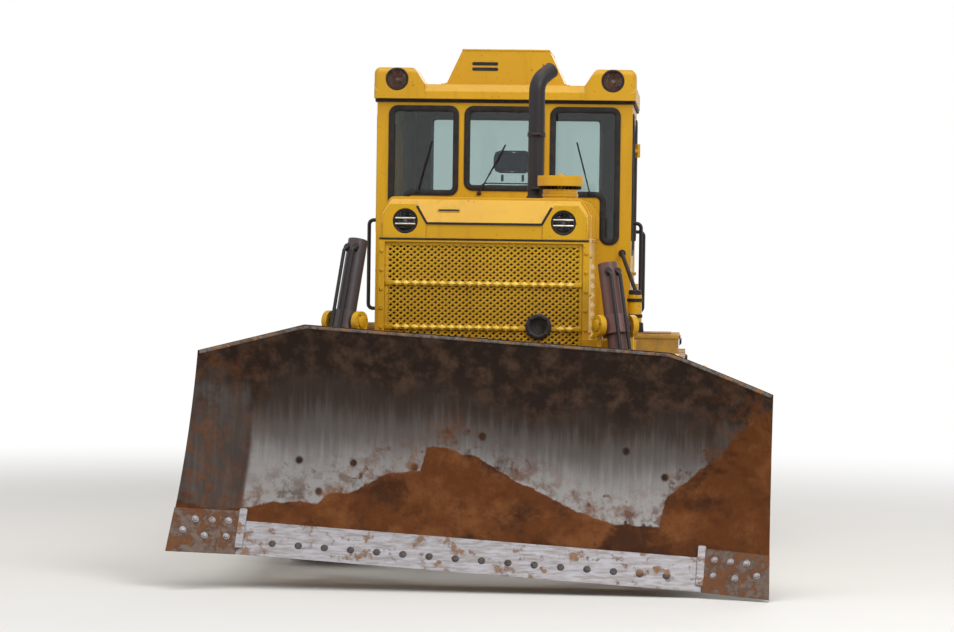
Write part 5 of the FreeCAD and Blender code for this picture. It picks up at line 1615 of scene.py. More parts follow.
@dataclass
class Glazing(Assembly):
    """Rubber seals round every pane, dark liners inside the cab and the wipers."""

    cab_half: float = 0.83
    cab_front: float = 0.06
    cab_rear: float = 1.53
    wall: float = 0.05
    window_top: float = 2.834
    screen_half: float = 0.247
    screen_bottom: float = 2.311
    side_in: float = 0.31
    side_out: float = 0.74
    side_bottom: float = 2.277
    side_leg: float = 0.64
    side_low: float = 1.97
    rear_half: float = 0.6
    rear_low: float = 2.05
    quarter_low: float = 2.0
    quarter_high: float = 2.8
    quarters: Pairs = ((0.15, 0.29), (1.2, 1.43))
    door_pane: tuple[float, float, float, float] = (0.406, 1.054, 1.9, 2.754)
    door_face: float = 0.826
    corner: float = 0.045
    lip: Pairs = (
        (-0.014, 0.0005), (-0.014, 0.007), (-0.004, 0.01), (0.016, 0.01), (0.024, 0.005),
        (0.024, -0.0205), (0.0006, -0.0205))
    door_lip: Pairs = (
        (-0.012, 0.0005), (-0.012, 0.006), (0.014, 0.008), (0.022, 0.004), (0.022, -0.0155),
        (0.0006, -0.0155))
    trim: Pairs = (
        (-0.055, -0.0005), (-0.055, 0.011), (-0.045, 0.014), (-0.004, 0.014), (0.003, 0.01), (0.003, -0.0005))
    wide_trim: Pairs = (
        (-0.143, -0.0005), (-0.143, 0.011), (-0.117, 0.014), (-0.004, 0.014), (0.003, 0.01), (0.003, -0.0005))

    def opening(self, x0: float, x1: float, z0: float, z1: float) -> Array:
        """A rectangle with round corners, anticlockwise."""
        return rounded([(x0, z0), (x1, z0), (x1, z1), (x0, z1)], self.corner, 6)

    def screens(self) -> list[Array]:
        """The openings in the front wall; the side ones reach down beside the hood.

        Returns:
            The middle, the left and the right opening, all anticlockwise.
        """
        side = rounded([
            (self.side_in, self.side_bottom), (self.side_leg, self.side_bottom),
            (self.side_leg, self.side_low), (self.side_out, self.side_low),
            (self.side_out, self.window_top), (self.side_in, self.window_top)], self.corner, 6)
        middle = self.opening(-self.screen_half, self.screen_half, self.screen_bottom, self.window_top)
        return [middle, side, (side * np.array([-1.0, 1.0]))[::-1]]

    def build_seals(self) -> None:
        """Seals on the walls and on both doors, and dark trim on the inner faces of the walls."""
        back = self.opening(-self.rear_half, self.rear_half, self.rear_low, self.window_top)
        walls = [collar(outline, self.lip).on((0, self.cab_front, 0), AHEAD) for outline in self.screens()]
        walls.append(collar(back, self.lip).on((0, self.cab_rear, 0), BACK))
        walls += [collar(self.opening(y0, y1, self.quarter_low, self.quarter_high), self.lip)
                  .on((self.cab_half, 0, 0), LEFT).both_sides() for y0, y1 in self.quarters]
        self.put("window_seals", walls, Slot.RUBBER)
        pane = collar(self.opening(*self.door_pane), self.door_lip).on((self.door_face, 0, 0), LEFT)
        self.put("door_seal_left", pane, Slot.RUBBER, body=Body.DOOR_LEFT)
        self.put("door_seal_right", pane.mirrored(), Slot.RUBBER, body=Body.DOOR_RIGHT)
        liners = [collar(outline, self.trim).on((0, self.cab_front + self.wall, 0), BACK)
                  for outline in self.screens()]
        liners.append(collar(back, self.wide_trim).on((0, self.cab_rear - self.wall, 0), AHEAD))
        self.put("cab_liners", liners, Slot.PLASTIC)

    def build_wipers(self) -> None:
        """A wiper on each screen: spindle, arm and blade."""
        pieces, y = [], self.cab_front
        spindle = turned([(0.014, 0.0), (0.014, 0.018), (0.008, 0.026), (0.001, 0.027)], 14)
        for x, z, angle, length in ((-0.16, 2.28, 62.0, 0.36), (0.56, 2.29, 105.0, 0.34),
                                    (-0.56, 2.29, 75.0, 0.34)):
            turn = radians(angle)
            foot = np.array([x, y - 0.012, z])
            tip = foot + length * np.array([cos(turn), 0.0, sin(turn)])
            arm = [foot + (0, -0.006, 0), (foot + tip) / 2 + (0, -0.01, 0),
                   tip * 0.75 + foot * 0.25 + (0, -0.006, 0)]
            pieces += [spindle.on((x, y, z), AHEAD), tube(arm, 0.004, 8),
                       strap([foot * 0.62 + tip * 0.38, tip], 0.01, 0.016, 0.002, 1, AHEAD)]
        self.put("wipers", pieces, Slot.RUBBER)


@dataclass
class Hood(Assembly):
    """The hood's slot, seams, louvres, latches and hinges, and what stands on it."""

    half: float = 0.61
    top: float = 2.215
    shoulder: tuple[float, float] = (0.56, 2.13)
    seam_z: float = 1.985
    nose_front: float = -1.852
    nose_step: float = 2.072
    nose_run: float = 0.11
    housing_foot: float = 0.341
    housing_crown: float = 0.399
    housing_high: float = 2.185
    slot_x: float = -0.215
    slot_half: float = 0.062
    exhaust: tuple[float, float, float] = (0.255, -0.9, 0.05)
    upper_clamp: float = 2.62
    cleaner: tuple[float, float] = (0.42, -1.2)

    def build_nose(self) -> None:
        """The slot in the sloping panel, a dark strip below it as a painted shadow in the seam's gap, and the
        shadow line of the lip.
        """
        front, step, z = self.nose_front, self.nose_step, self.seam_z
        slope = facing((self.slot_x, front + self.nose_run * 0.53, step + 0.53 * (self.top - step)),
                       (0.0, step - self.top, self.nose_run))
        slot = panel(2 * self.slot_half, 0.016, 0.007, 4, 0.0015, 0.0005, 1)
        self.put("nose_slot", slot.moved(slope), Slot.RUBBER)
        # Painted shadow: a dark strip laid along the chevron where the nose's panels meet, standing for the
        # shade in that gap.
        corner_z = step + 0.9 * (self.housing_high - step)
        line = [(-self.housing_crown, front - 0.008, corner_z), (-self.housing_foot, front - 0.008, step),
                (self.housing_foot, front - 0.008, step), (self.housing_crown, front - 0.008, corner_z)]
        self.put("nose_gap_shadow", strap(bent(line, 0.01, 3), 0.014, 0.004, 0.001, 1, BACK), Slot.RUBBER)
        rim = collar(rectangle(2 * self.slot_half + 0.006, 0.022, 0.01),
                     [(-0.004, 0.0), (-0.0024, 0.003), (0.0024, 0.003), (0.004, 0.0)])
        self.put("nose_slot_rim", rim.moved(slope), Slot.YELLOW)
        lip = block((0.004 - self.half, front + 0.004, z - 0.009),
                    (self.half - 0.004, front + 0.13, z - 0.0005), 0.002)
        # Painted shadow: a dark strip in front of the guard's top, for the shade under the nose's lip. The
        # block above is the rubber gasket.
        line = block((-self.half - 0.011, front - 0.0105, z - 0.013),
                     (self.half + 0.011, front - 0.006, z - 0.001), 0.001)
        self.put("hood_gasket_and_shadow_line", [lip, line], Slot.RUBBER)

    def build_seams(self) -> None:
        """Raised joint strips across the top and along both shoulders."""
        x, z, (inner, low), pieces = self.half, self.seam_z + 0.01, self.shoulder, []
        for y in (-1.705, -1.02, -0.45, 0.035):
            path = [(-x, y, z), (-x, y, low), (-inner, y, self.top), (inner, y, self.top), (x, y, low),
                    (x, y, z)]
            pieces.append(strap(bent(path, 0.02, 4), 0.03, 0.006, 0.002, 1, BACK))
        z = self.seam_z + 0.004
        pieces += [tube([(side * x, -1.7, z), (side * x, 0.05, z)], 0.006, 8) for side in (-1, 1)]
        self.put("hood_seams", pieces, Slot.YELLOW)

    def louvre(self) -> Shape:
        """A pressed scoop, open below: z = 0.016 (1 - u^6) sin(0.55 pi (1 - v)) over its height.

        Returns:
            A scoop 0.30 wide on the XY plane, swelling to +Z.
        """
        u, v = np.meshgrid(np.linspace(-1, 1, 17), np.linspace(0, 1, 7), indexing="ij")
        swell = 0.016 * (1 - u ** 6) * np.sin(0.55 * pi * (1 - v)) + 0.0008
        return slab(*(np.stack([u * 0.15, 0.034 * v, swell - depth], axis=2) for depth in (0, 0.003)))

    def build_side_details(self) -> None:
        """Louvres, latches and hinges on both side panels."""
        x, latches, hinges = self.half, [], []
        scoops = [(x, y, z) for y in (-1.22, -0.82) for z in np.arange(1.34, 1.86, 0.058)]
        knob = turned([(0.009, 0), (0.009, 0.012), (0.015, 0.015), (0.015, 0.024), (0.004, 0.028)], 16)
        for y in (-1.44, -1.02, -0.58):
            latches += [block((x - 0.001, y - 0.03, 1.26), (x + 0.005, y + 0.03, 1.34), 0.003),
                        knob.on((x + 0.004, y, 1.3), LEFT),
                        block((x + 0.018, y - 0.034, 1.291), (x + 0.028, y + 0.034, 1.309))]
        for y in (-1.4, -0.95, -0.5, -0.05):
            hinges += [tube([(x + 0.006, y - 0.045, 1.978), (x + 0.006, y + 0.045, 1.978)], 0.007, 10),
                       block((x - 0.001, y - 0.04, 1.93), (x + 0.003, y + 0.04, 1.975), 0.001)]
        self.put("hood_louvres", self.louvre().on_each(scoops, LEFT).both_sides(), Slot.YELLOW)
        self.put("hood_latches", join(latches).both_sides(), Slot.RUBBER)
        self.put("hood_hinges", join(hinges).both_sides(), Slot.YELLOW)

    def build_stack(self) -> None:
        """The exhaust's base flange and clamps, and the pre-cleaner's vanes, lid and band."""
        x, y, r = self.exhaust
        top, front = self.top, y - r - 0.012
        flange = hoop([(r + 0.001, 0.0), (r + 0.03, 0.0), (r + 0.032, 0.006), (r + 0.012, 0.012),
                       (r + 0.006, 0.04), (r + 0.001, 0.042)], 36)
        clamp = hoop([(r + 0.0005, 0), (r + 0.006, 0.001), (r + 0.006, 0.027), (r + 0.0005, 0.028)], 36)
        rings = ((flange, top - 0.001), (clamp, top + 0.07), (clamp, self.upper_clamp))
        pieces = [shape.shifted(x, y, z) for shape, z in rings]
        for z in (top + 0.084, self.upper_clamp + 0.014):
            pieces += [tube([(x - 0.028, front, z), (x + 0.028, front, z)], 0.006, 8),
                       hex_head(0.009, 0.008).on((x + 0.026, front, z), LEFT)]
        self.put("exhaust_clamps", pieces, Slot.DARK)
        x, y = self.cleaner
        vane = block((0.082, -0.002, 0.001), (0.128, 0.002, 0.019), 0.0008)
        vanes = [spun(turn, x, y, 2.292) for turn in np.arange(28) * pi / 14]
        self.put("cleaner_vanes", vane.repeated(vanes), Slot.RUBBER)
        lid = turned([(0.1402, 0.0), (0.1405, 0.012), (0.134, 0.02), (0.06, 0.024), (0.02, 0.025),
                      (0.018, 0.034), (0.004, 0.036)], 40)
        band = hoop([(0.107, 0.0), (0.1095, 0.002), (0.1095, 0.018), (0.107, 0.02)], 40)
        self.put("cleaner_lid", [lid.shifted(x, y, 2.352), band.shifted(x, y, top + 0.03)], Slot.YELLOW)


@dataclass
class Cylinders(Assembly):
    """Rigid oil pipes, end caps and clamps on the lift cylinders, and the yokes' bolts."""

    joints: list[dict[str, object]]
    pivot: Point = (0.79, -2.14, 1.49)
    toe: float = radians(30.0)
    barrel: float = 0.058
    yoke_out: float = 0.124

    def fit_side(self, side: int, name: str, body: Body) -> None:
        """Pipes, bands and the cap's bolts for one cylinder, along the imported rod's axis.

        Args:
            side: 1 for left and -1 for right.
            name: the same in words.
            body: the barrel's body.
        """
        down = unit(next(joint["axis"] for joint in self.joints if joint["name"] == "lift_rod_" + name))
        pivot = np.array([side * self.pivot[0], self.pivot[1], self.pivot[2]])
        hinge = np.array([cos(self.toe), side * sin(self.toe), 0.0])
        low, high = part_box("lift_barrel_" + name)
        below, above = (pivot[2] - low.z) / -down[2] - 0.03, (high.z - pivot[2]) / -down[2] - 0.03
        out = unit(np.cross(hinge, down))
        out = out if out[1] < 0 else -out
        r, front = self.barrel, out * (self.barrel + 0.022)
        start, foot = pivot - down * (above - 0.045), pivot + down * (below - 0.05)
        pipes = []
        for across, reach in ((hinge * -0.03, 0.02), (hinge * 0.03, 0.105)):
            run = np.array([start + out * (r - 0.005), start + front + down * 0.02,
                            foot - down * reach + front,
                            foot - down * (reach - 0.035) + out * (r - 0.005)]) + across
            pipes += [tube(bent(run, 0.018, 5), 0.0105), hex_head(0.019, 0.014).on_each(run[[0, -1]], out)]
        band = hoop([(r + 0.0005, 0), (r + 0.005, 0.001), (r + 0.005, 0.023), (r + 0.0005, 0.024)], 36)
        saddle = block((-0.046, r - 0.004, 0.0), (0.046, r + 0.035, 0.024))
        bands = []
        for reach in (0.16, 0.5 * below, 0.86 * below):
            bands += [band.on(pivot + down * reach, down), saddle.on(pivot + down * reach, down, out)]
        self.put(f"cylinder_pipes_{name}", pipes, Slot.DARK, body=body)
        self.put(f"cylinder_bands_{name}", bands, Slot.CYLINDER, body=body)
        caps = self.ring_of(hex_head(0.009, 0.008), facing(pivot - down * above, -down), 0.038, 6, 0.3,
                            -0.004)
        self.put(f"cylinder_cap_bolts_{name}", caps, Slot.TRACK, body=body)
        cap = turned([(0.036, -0.002), (0.036, 0.006), (0.03, 0.01), (0.004, 0.011)], 20)
        yoke = []
        for end in (-1, 1):
            face = facing(pivot + hinge * (end * self.yoke_out), hinge * end)
            yoke += [cap.moved(face), self.ring_of(hex_head(0.007, 0.006), face, 0.048, 4, 0.4)]
        self.put(f"yoke_bolts_{name}", yoke, Slot.YELLOW)

    @staticmethod
    def ring_of(head: Shape, face: Array, radius: float, count: int, start: float,
                rise: float = 0.0) -> Shape:
        """Bolts in a circle on a face, at (r cos t, r sin t) from an angle on.

        Args:
            head: one bolt.
            face: the move onto the face.
            radius, count, start: the circle's radius, its bolts and the first one's angle.
            rise: how far out of the face they stand.

        Returns:
            All of them as one shape.
        """
        places = [shift(radius * cos(t), radius * sin(t), rise)
                  for t in start + np.arange(count) * 2 * pi / count]
        return head.repeated(places).moved(face)

    def build_both(self) -> None:
        """Makes both cylinders' fittings."""
        self.fit_side(-1, "right", Body.BARREL_RIGHT)
        self.fit_side(1, "left", Body.BARREL_LEFT)


@dataclass
class Tracks(Assembly):
    """Separate shoe plates with bolts, link bosses and pins, all round both tracks."""

    shoes: int = 38
    pin_radius: float = 0.44
    wheelbase: float = 2.48
    gauge: float = 1.88
    shoe_width: float = 0.5
    pin_height: float = 0.115
    plate_out: float = 0.06
    lug_at: float = 0.025
    lug_thick: float = 0.02
    rail_out_x: float = 0.105
    shoe_gap: float = 0.0035
    clip: float = 0.022

    def __post_init__(self) -> None:
        """Works out the loop's length, the shoes' pitch and the moves onto the links."""
        self.loop = 2 * self.wheelbase + 2 * pi * self.pin_radius
        self.pitch = self.loop / self.shoes
        self.moves = self.link_moves()

    def pin(self, run: float) -> Array:
        """The pin line's point (y, z) at a length round the loop, from the idler's foot.

        Args:
            run: the length; a whole loop leads back to the start.

        Returns:
            A point of two straight runs joined by half circles.
        """
        half, radius, axle = self.wheelbase / 2, self.pin_radius, self.pin_height + self.pin_radius
        run, far = run % self.loop, 1.0
        if run >= self.loop / 2:
            run, far = run - self.loop / 2, -1.0
        if run < self.wheelbase:
            return np.array([far * (run - half), axle - far * radius])
        turn = (run - self.wheelbase) / radius
        return np.array([far * (half + radius * sin(turn)), axle - far * radius * cos(turn)])

    def link_moves(self) -> list[Array]:
        """For every shoe, the move from (along, x, out) to the left track.

        Returns:
            Moves whose X runs along the link, Y across the track and Z outwards.
        """
        moves = []
        for run in (np.arange(self.shoes) + 0.5) * self.pitch:
            here = self.pin(run)
            y, z = unit(self.pin(run + self.pitch) - here)
            matrix = shift(self.gauge / 2, *here)
            matrix[:3, 0], matrix[:3, 2] = (0, y, z), (0, z, -y)
            matrix[:3, 1] = np.cross(matrix[:3, 2], matrix[:3, 0])
            moves.append(matrix)
        return moves

    def build_shoes(self) -> None:
        """A worn plate with clipped corners over each shoe, its lug's cap and its bolts."""
        half, x0, x1, clip = self.shoe_width / 2, self.shoe_gap, self.pitch - self.shoe_gap, self.clip
        corners = [(x0, clip - half), (x0 + clip, -half), (x1 - clip, -half), (x1, clip - half),
                   (x1, half - clip), (x1 - clip, half), (x0 + clip, half), (x0, half - clip)]
        skin = plate(np.array(corners), 0.006, 0.0018, 1).shifted(z=self.plate_out - 0.001)
        cap = panel(self.lug_thick + 0.004, self.shoe_width - 0.004, 0.004, 2, 0.0535, 0.003, 1)
        cap = cap.shifted(x=self.lug_at + self.lug_thick / 2, z=self.plate_out + 0.001)
        bolts = [shift(self.lug_at + x, y, self.plate_out + 0.005) for x in (0.062, 0.118)
                 for y in (-0.082, 0.082)]
        nuts = hex_head(0.0135, 0.012).repeated(bolts)
        for name, side in (("left", 1), ("right", -1)):
            for label, shape in (("shoes", skin), ("shoe_bolts", nuts), ("lug_caps", cap)):
                self.put(f"track_{label}_{name}", shape.repeated(self.moves).to_side(side), Slot.TRACK)

    def build_links(self) -> None:
        """Link side plates with bosses at both pins, on the outer faces of both rails."""
        eye = plate(ring(0.041, 24), 0.01, 0.003, 1)
        pin_end = turned([(0.022, 0.0), (0.022, 0.008), (0.017, 0.012), (0.004, 0.009)], 18)
        web = plate(rounded([(-0.018, -0.036), (self.pitch + 0.018, -0.036), (self.pitch + 0.01, 0.036),
                             (-0.01, 0.036)], 0.012, 3), 0.0065, 0.002, 1)
        side = join([eye, pin_end.shifted(z=0.009), web]).shifted(z=-0.001)
        pieces = []
        for out in (1.0, -1.0):
            to_side = shift(y=out * self.rail_out_x)
            to_side[:3, 1], to_side[:3, 2] = (0, 0, out), (0, out, 0)
            pieces.append(side.moved(to_side))
        links = join(pieces).repeated(self.moves)
        self.put("track_links_left", links, Slot.TRACK)
        self.put("track_links_right", links.mirrored(), Slot.TRACK)


@dataclass
class Undercarriage(Assembly):
    """Hub bolts, roller caps, frame covers and trunnion caps."""

    middle: float = 0.94
    axle_z: float = 0.555
    sprocket_y: float = 1.24
    idler_y: float = -1.24
    bearing_out: float = 0.145
    roller_z: float = 0.2633
    rollers: tuple[float, ...] = (-0.76, -0.47, -0.18, 0.11, 0.4, 0.69)
    carrier_z: float = 0.858
    carriers: tuple[float, ...] = (-0.42, 0.38)
    frame_half: float = 0.14
    frame_low: float = 0.392
    frame_high: float = 0.6
    trunnion: Point = (1.404, 0.35, 0.5)

    def build_wheels(self) -> None:
        """Bolt circles and covers on the final drives, the idlers and every roller."""
        x, y, z, idler_y, bearing = self.middle, self.sprocket_y, self.axle_z, self.idler_y, self.bearing_out
        head = hex_head(0.014, 0.012)
        cap = turned([(0.068, 0.0), (0.066, 0.01), (0.03, 0.014), (0.004, 0.014)], 28)
        hub = [hex_head(0.016, 0.014).on_each(circle((x + 0.07, y, z), 0.162, 18, BACK, 0.5), LEFT),
               head.on_each(circle((x + 0.11, y, z), 0.108, 10, BACK, 0.5), LEFT),
               cap.on((x + 0.11, y, z), LEFT),
               turned([(0.013, 0.0), (0.013, 0.014), (0.004, 0.016)], 6).on((x + 0.121, y, z), LEFT)]
        self.put("final_drive_bolts", join(hub).both_sides(), Slot.YELLOW)
        cover = turned([(0.037, 0.0), (0.035, 0.006), (0.012, 0.008), (0.003, 0.008)])
        idler = [head.on_each(circle((x + 0.112, idler_y, z), 0.068, 6, BACK, 0.5), LEFT),
                 cover.on((x + bearing + 0.008, idler_y, z), LEFT)]
        self.put("idler_bolts", join(idler).both_sides(), Slot.TRACK)
        cap = join([turned([(0.046, -0.002), (0.046, 0.008), (0.04, 0.013), (0.014, 0.014), (0.012, 0.018),
                            (0.003, 0.018)]).on((0, 0, 0), LEFT),
                    hex_head(0.01, 0.009).on_each([(0, dy, 0.036) for dy in (-0.0441, 0.0441)], LEFT)])
        caps = [cap.shifted(x + bearing, y, z) for places, z in
                ((self.rollers, self.roller_z), (self.carriers, self.carrier_z)) for y in places]
        self.put("roller_caps", join(caps).both_sides(), Slot.TRACK)

    def build_covers(self) -> None:
        """Bolted covers, grease fittings and a rock guard over the rollers on each track frame."""
        x, low, high = self.middle + self.frame_half, self.frame_low, self.frame_high
        pieces = [block((x - 0.001, y0, low + 0.035), (x + 0.008, y1, high - 0.03), 0.003)
                  for y0, y1 in ((-0.62, -0.22), (-0.1, 0.16))]
        heads = [(x + 0.008, y, z) for y in (-0.6, -0.42, -0.24, -0.08, 0.03, 0.14)
                 for z in (low + 0.055, high - 0.05)]
        pieces += [hex_head(0.009, 0.008).on_each(heads, LEFT),
                   block((x + 0.005, -0.815, low - 0.004), (x + 0.017, 0.765, low + 0.016), 0.003)]
        self.put("frame_covers", join(pieces).both_sides(), Slot.YELLOW)
        grease = turned([(0.012, 0), (0.012, 0.006), (0.006, 0.01), (0.007, 0.018), (0.002, 0.02)], 12)
        fittings = grease.on_each([(x + 0.008, y, 0.49) for y in (-0.36, 0.03)], LEFT)
        self.put("grease_fittings", fittings.both_sides(), Slot.CHROME)

    def build_trunnions(self) -> None:
        """A keeper plate with bolts on each push arm's trunnion."""
        keeper = turned([(0.08, 0.0), (0.078, 0.006), (0.02, 0.008), (0.003, 0.008)], 32)
        x, y, z = self.trunnion
        bolts = hex_head(0.011, 0.009).on_each(circle((x + 0.006, y, z), 0.055, 6, BACK, 0.5), LEFT)
        self.put("trunnion_keepers", join([keeper.on(self.trunnion, LEFT), bolts]).both_sides(), Slot.YELLOW)


@dataclass
class Cabin(Assembly):
    """A joint under the roof's edge, dark as painted shadow, grab rails, door fittings, rear lamps and the
    roof's seams.
    """

    half: float = 0.83
    front: float = 0.06
    rear: float = 1.53
    floor_top: float = 1.33
    wall_top: float = 2.89
    roof_half: float = 0.85
    roof_rear: float = 1.6
    roof_deck: float = 2.985
    door: tuple[float, float, float, float] = (0.336, 1.124, 1.406, 2.824)
    door_face: float = 0.826
    vent: tuple[float, float, float, float, float] = (0.39, 0.28, 3.22, 0.12, 0.9)
    rail_out: float = 0.062

    def build_roof_joint_shadow(self) -> None:
        """A folded joint above the walls, under the roof's edge, dark as a painted shadow of the roof's
        overhang.
        """
        x, y0, y1, z = self.half + 0.012, self.front - 0.012, self.rear + 0.012, self.wall_top
        line = rounded([(-x, y0), (x, y0), (x, y1), (-x, y1)], 0.03, 4)
        rings = [(0.0, z - 0.022), (-0.004, z - 0.018), (-0.004, z - 0.001), (0.011, z - 0.001),
                 (0.011, z - 0.022)]
        # Painted shadow: the joint takes the black rubber finish to stand for the shade under the roof's
        # edge.
        self.put("roof_joint_shadow", collar(line, rings), Slot.RUBBER)

    def build_rails(self) -> None:
        """Grab rails beside the doors and at the rear corners, and the slanting one in front."""
        x, pieces, feet = self.half, [], []
        for y, low, high in ((self.door[0] - 0.085, 1.52, 2.1), (self.rear - 0.06, 1.5, 2.05)):
            out = x + self.rail_out
            run = [(x, y, low), (out, y, low), (out, y, high), (x, y, high)]
            pieces.append(tube(bent(run, 0.03), 0.0125, 14))
            feet += [run[0], run[-1]]
        flange = turned([(0.024, 0.0), (0.024, 0.004), (0.014, 0.006), (0.013, 0.01)], 18)
        pieces.append(flange.on_each(feet, LEFT))
        self.put("door_rails", join(pieces).both_sides(), Slot.DARK)
        top, foot = np.array([0.775, self.front, 1.905]), np.array([0.87, -0.375, 1.64])
        run = [top, top + (0, -0.055, 0.0), foot + (0.0, 0.055, 0.035), foot + (0, 0.035, -0.02)]
        self.put("front_rail", [tube(bent(run, 0.025, 5), 0.013, 14), flange.on(top, AHEAD)], Slot.RUBBER)

    def build_door_fittings(self) -> None:
        """A raised pressing, a lock and hinge bolts on both doors."""
        y0, y1, z0, _ = self.door
        low, high = z0 + 0.07, z0 + 0.34
        press = rounded([(y0 + 0.1, low), (y1 - 0.1, low), (y1 - 0.1, high), (y0 + 0.1, high)], 0.035)
        raised = plate(press, 0.006, 0.004).on((self.door_face - 0.001, 0, 0), LEFT)
        lock = turned([(0.02, 0), (0.02, 0.006), (0.012, 0.008), (0.011, 0.012), (0.002, 0.012)], 20)
        bolts = [(self.door_face + 0.01, y1 - dy, level + dz)
                 for level in (1.65, 2.6) for dz in (-0.008, 0.008) for dy in (0.03, 0.065)]
        metal = join([lock.on((self.door_face, y0 + 0.1, 1.7), LEFT),
                      hex_head(0.0042, 0.004).on_each(bolts, LEFT)])
        for name, side, body in (("left", 1, Body.DOOR_LEFT), ("right", -1, Body.DOOR_RIGHT)):
            self.put("door_pressing_" + name, raised.to_side(side), Slot.YELLOW, body=body)
            self.put("door_lock_" + name, metal.to_side(side), Slot.CHROME, body=body)

    def build_roof(self) -> None:
        """The roof unit's slots, flange, lid and bolts, seams, lifting eyes and the rear lamps."""
        base, crown, top, front, rear = self.vent
        deck = self.roof_deck
        slots = [panel(0.17, 0.022, 0.01, 5, 0.002, 0.0005, 1).on((-0.135, front, z), AHEAD)
                 for z in (3.125, 3.09)]
        slots += [block((-0.18, rear - 0.001, z), (0.18, rear + 0.004, z + 0.01), 0.002)
                  for z in np.arange(3.03, 3.18, 0.022)]
        self.put("vent_slots", slots, Slot.RUBBER)
        pieces = [block((-base - 0.03, front - 0.018, deck - 0.001), (base + 0.03, rear + 0.03, deck + 0.008),
                        0.003)]
        pieces += [hex_head(0.008, 0.006).shifted(x, y, deck + 0.007)
                   for x in np.linspace(-base, base, 7) for y in (front - 0.006, rear + 0.018)]
        pieces.append(block((-crown - 0.006, front - 0.004, top - 0.012),
                            (crown + 0.006, rear + 0.004, top - 0.0005)))
        wide = self.roof_half - 0.03
        pieces += [block((-wide, y - 0.01, deck - 0.001), (wide, y + 0.01, deck + 0.005), 0.003)
                   for y in (1.02, 1.28, 1.54)]
        t = np.linspace(0, pi, 13)
        eye = tube(0.03 * np.column_stack([np.cos(t), 0 * t, np.sin(t)]), 0.008, 10)
        pieces += [eye.shifted(x, 1.15, deck + 0.002) for x in (-0.72, 0.72)]
        self.put("roof_details", pieces, Slot.YELLOW)
        places = [(x, self.roof_rear, 2.937) for x in (-0.7, 0.7)]
        self.put("rear_lamp_casings", panel(0.15, 0.07, 0.012, 4, 0.024, 0.004).on_each(places, BACK),
                 Slot.RUBBER)
        self.put("rear_lamp_lenses", panel(0.128, 0.05, 0.008, 4, 0.027, 0.003).on_each(places, BACK),
                 Slot.LENS, self.palette.bulb)

    def build_wall_bolts(self) -> None:
        """Bolts along the cab's foot and on its rear wall."""
        head, z = hex_head(0.01, 0.008), self.floor_top + 0.03
        sides = [(self.half, y, z) for y in np.linspace(self.front + 0.08, self.rear - 0.08, 9)]
        front = [(x, self.front, z) for x in (-0.78, -0.7, 0.7, 0.78)]
        rear = [(x, self.rear, 1.98) for x in (-0.72, 0.72)]
        bolts = [head.on_each(sides, LEFT).both_sides(), head.on_each(front, AHEAD), head.on_each(rear, BACK)]
        self.put("cab_bolts", bolts, Slot.YELLOW)


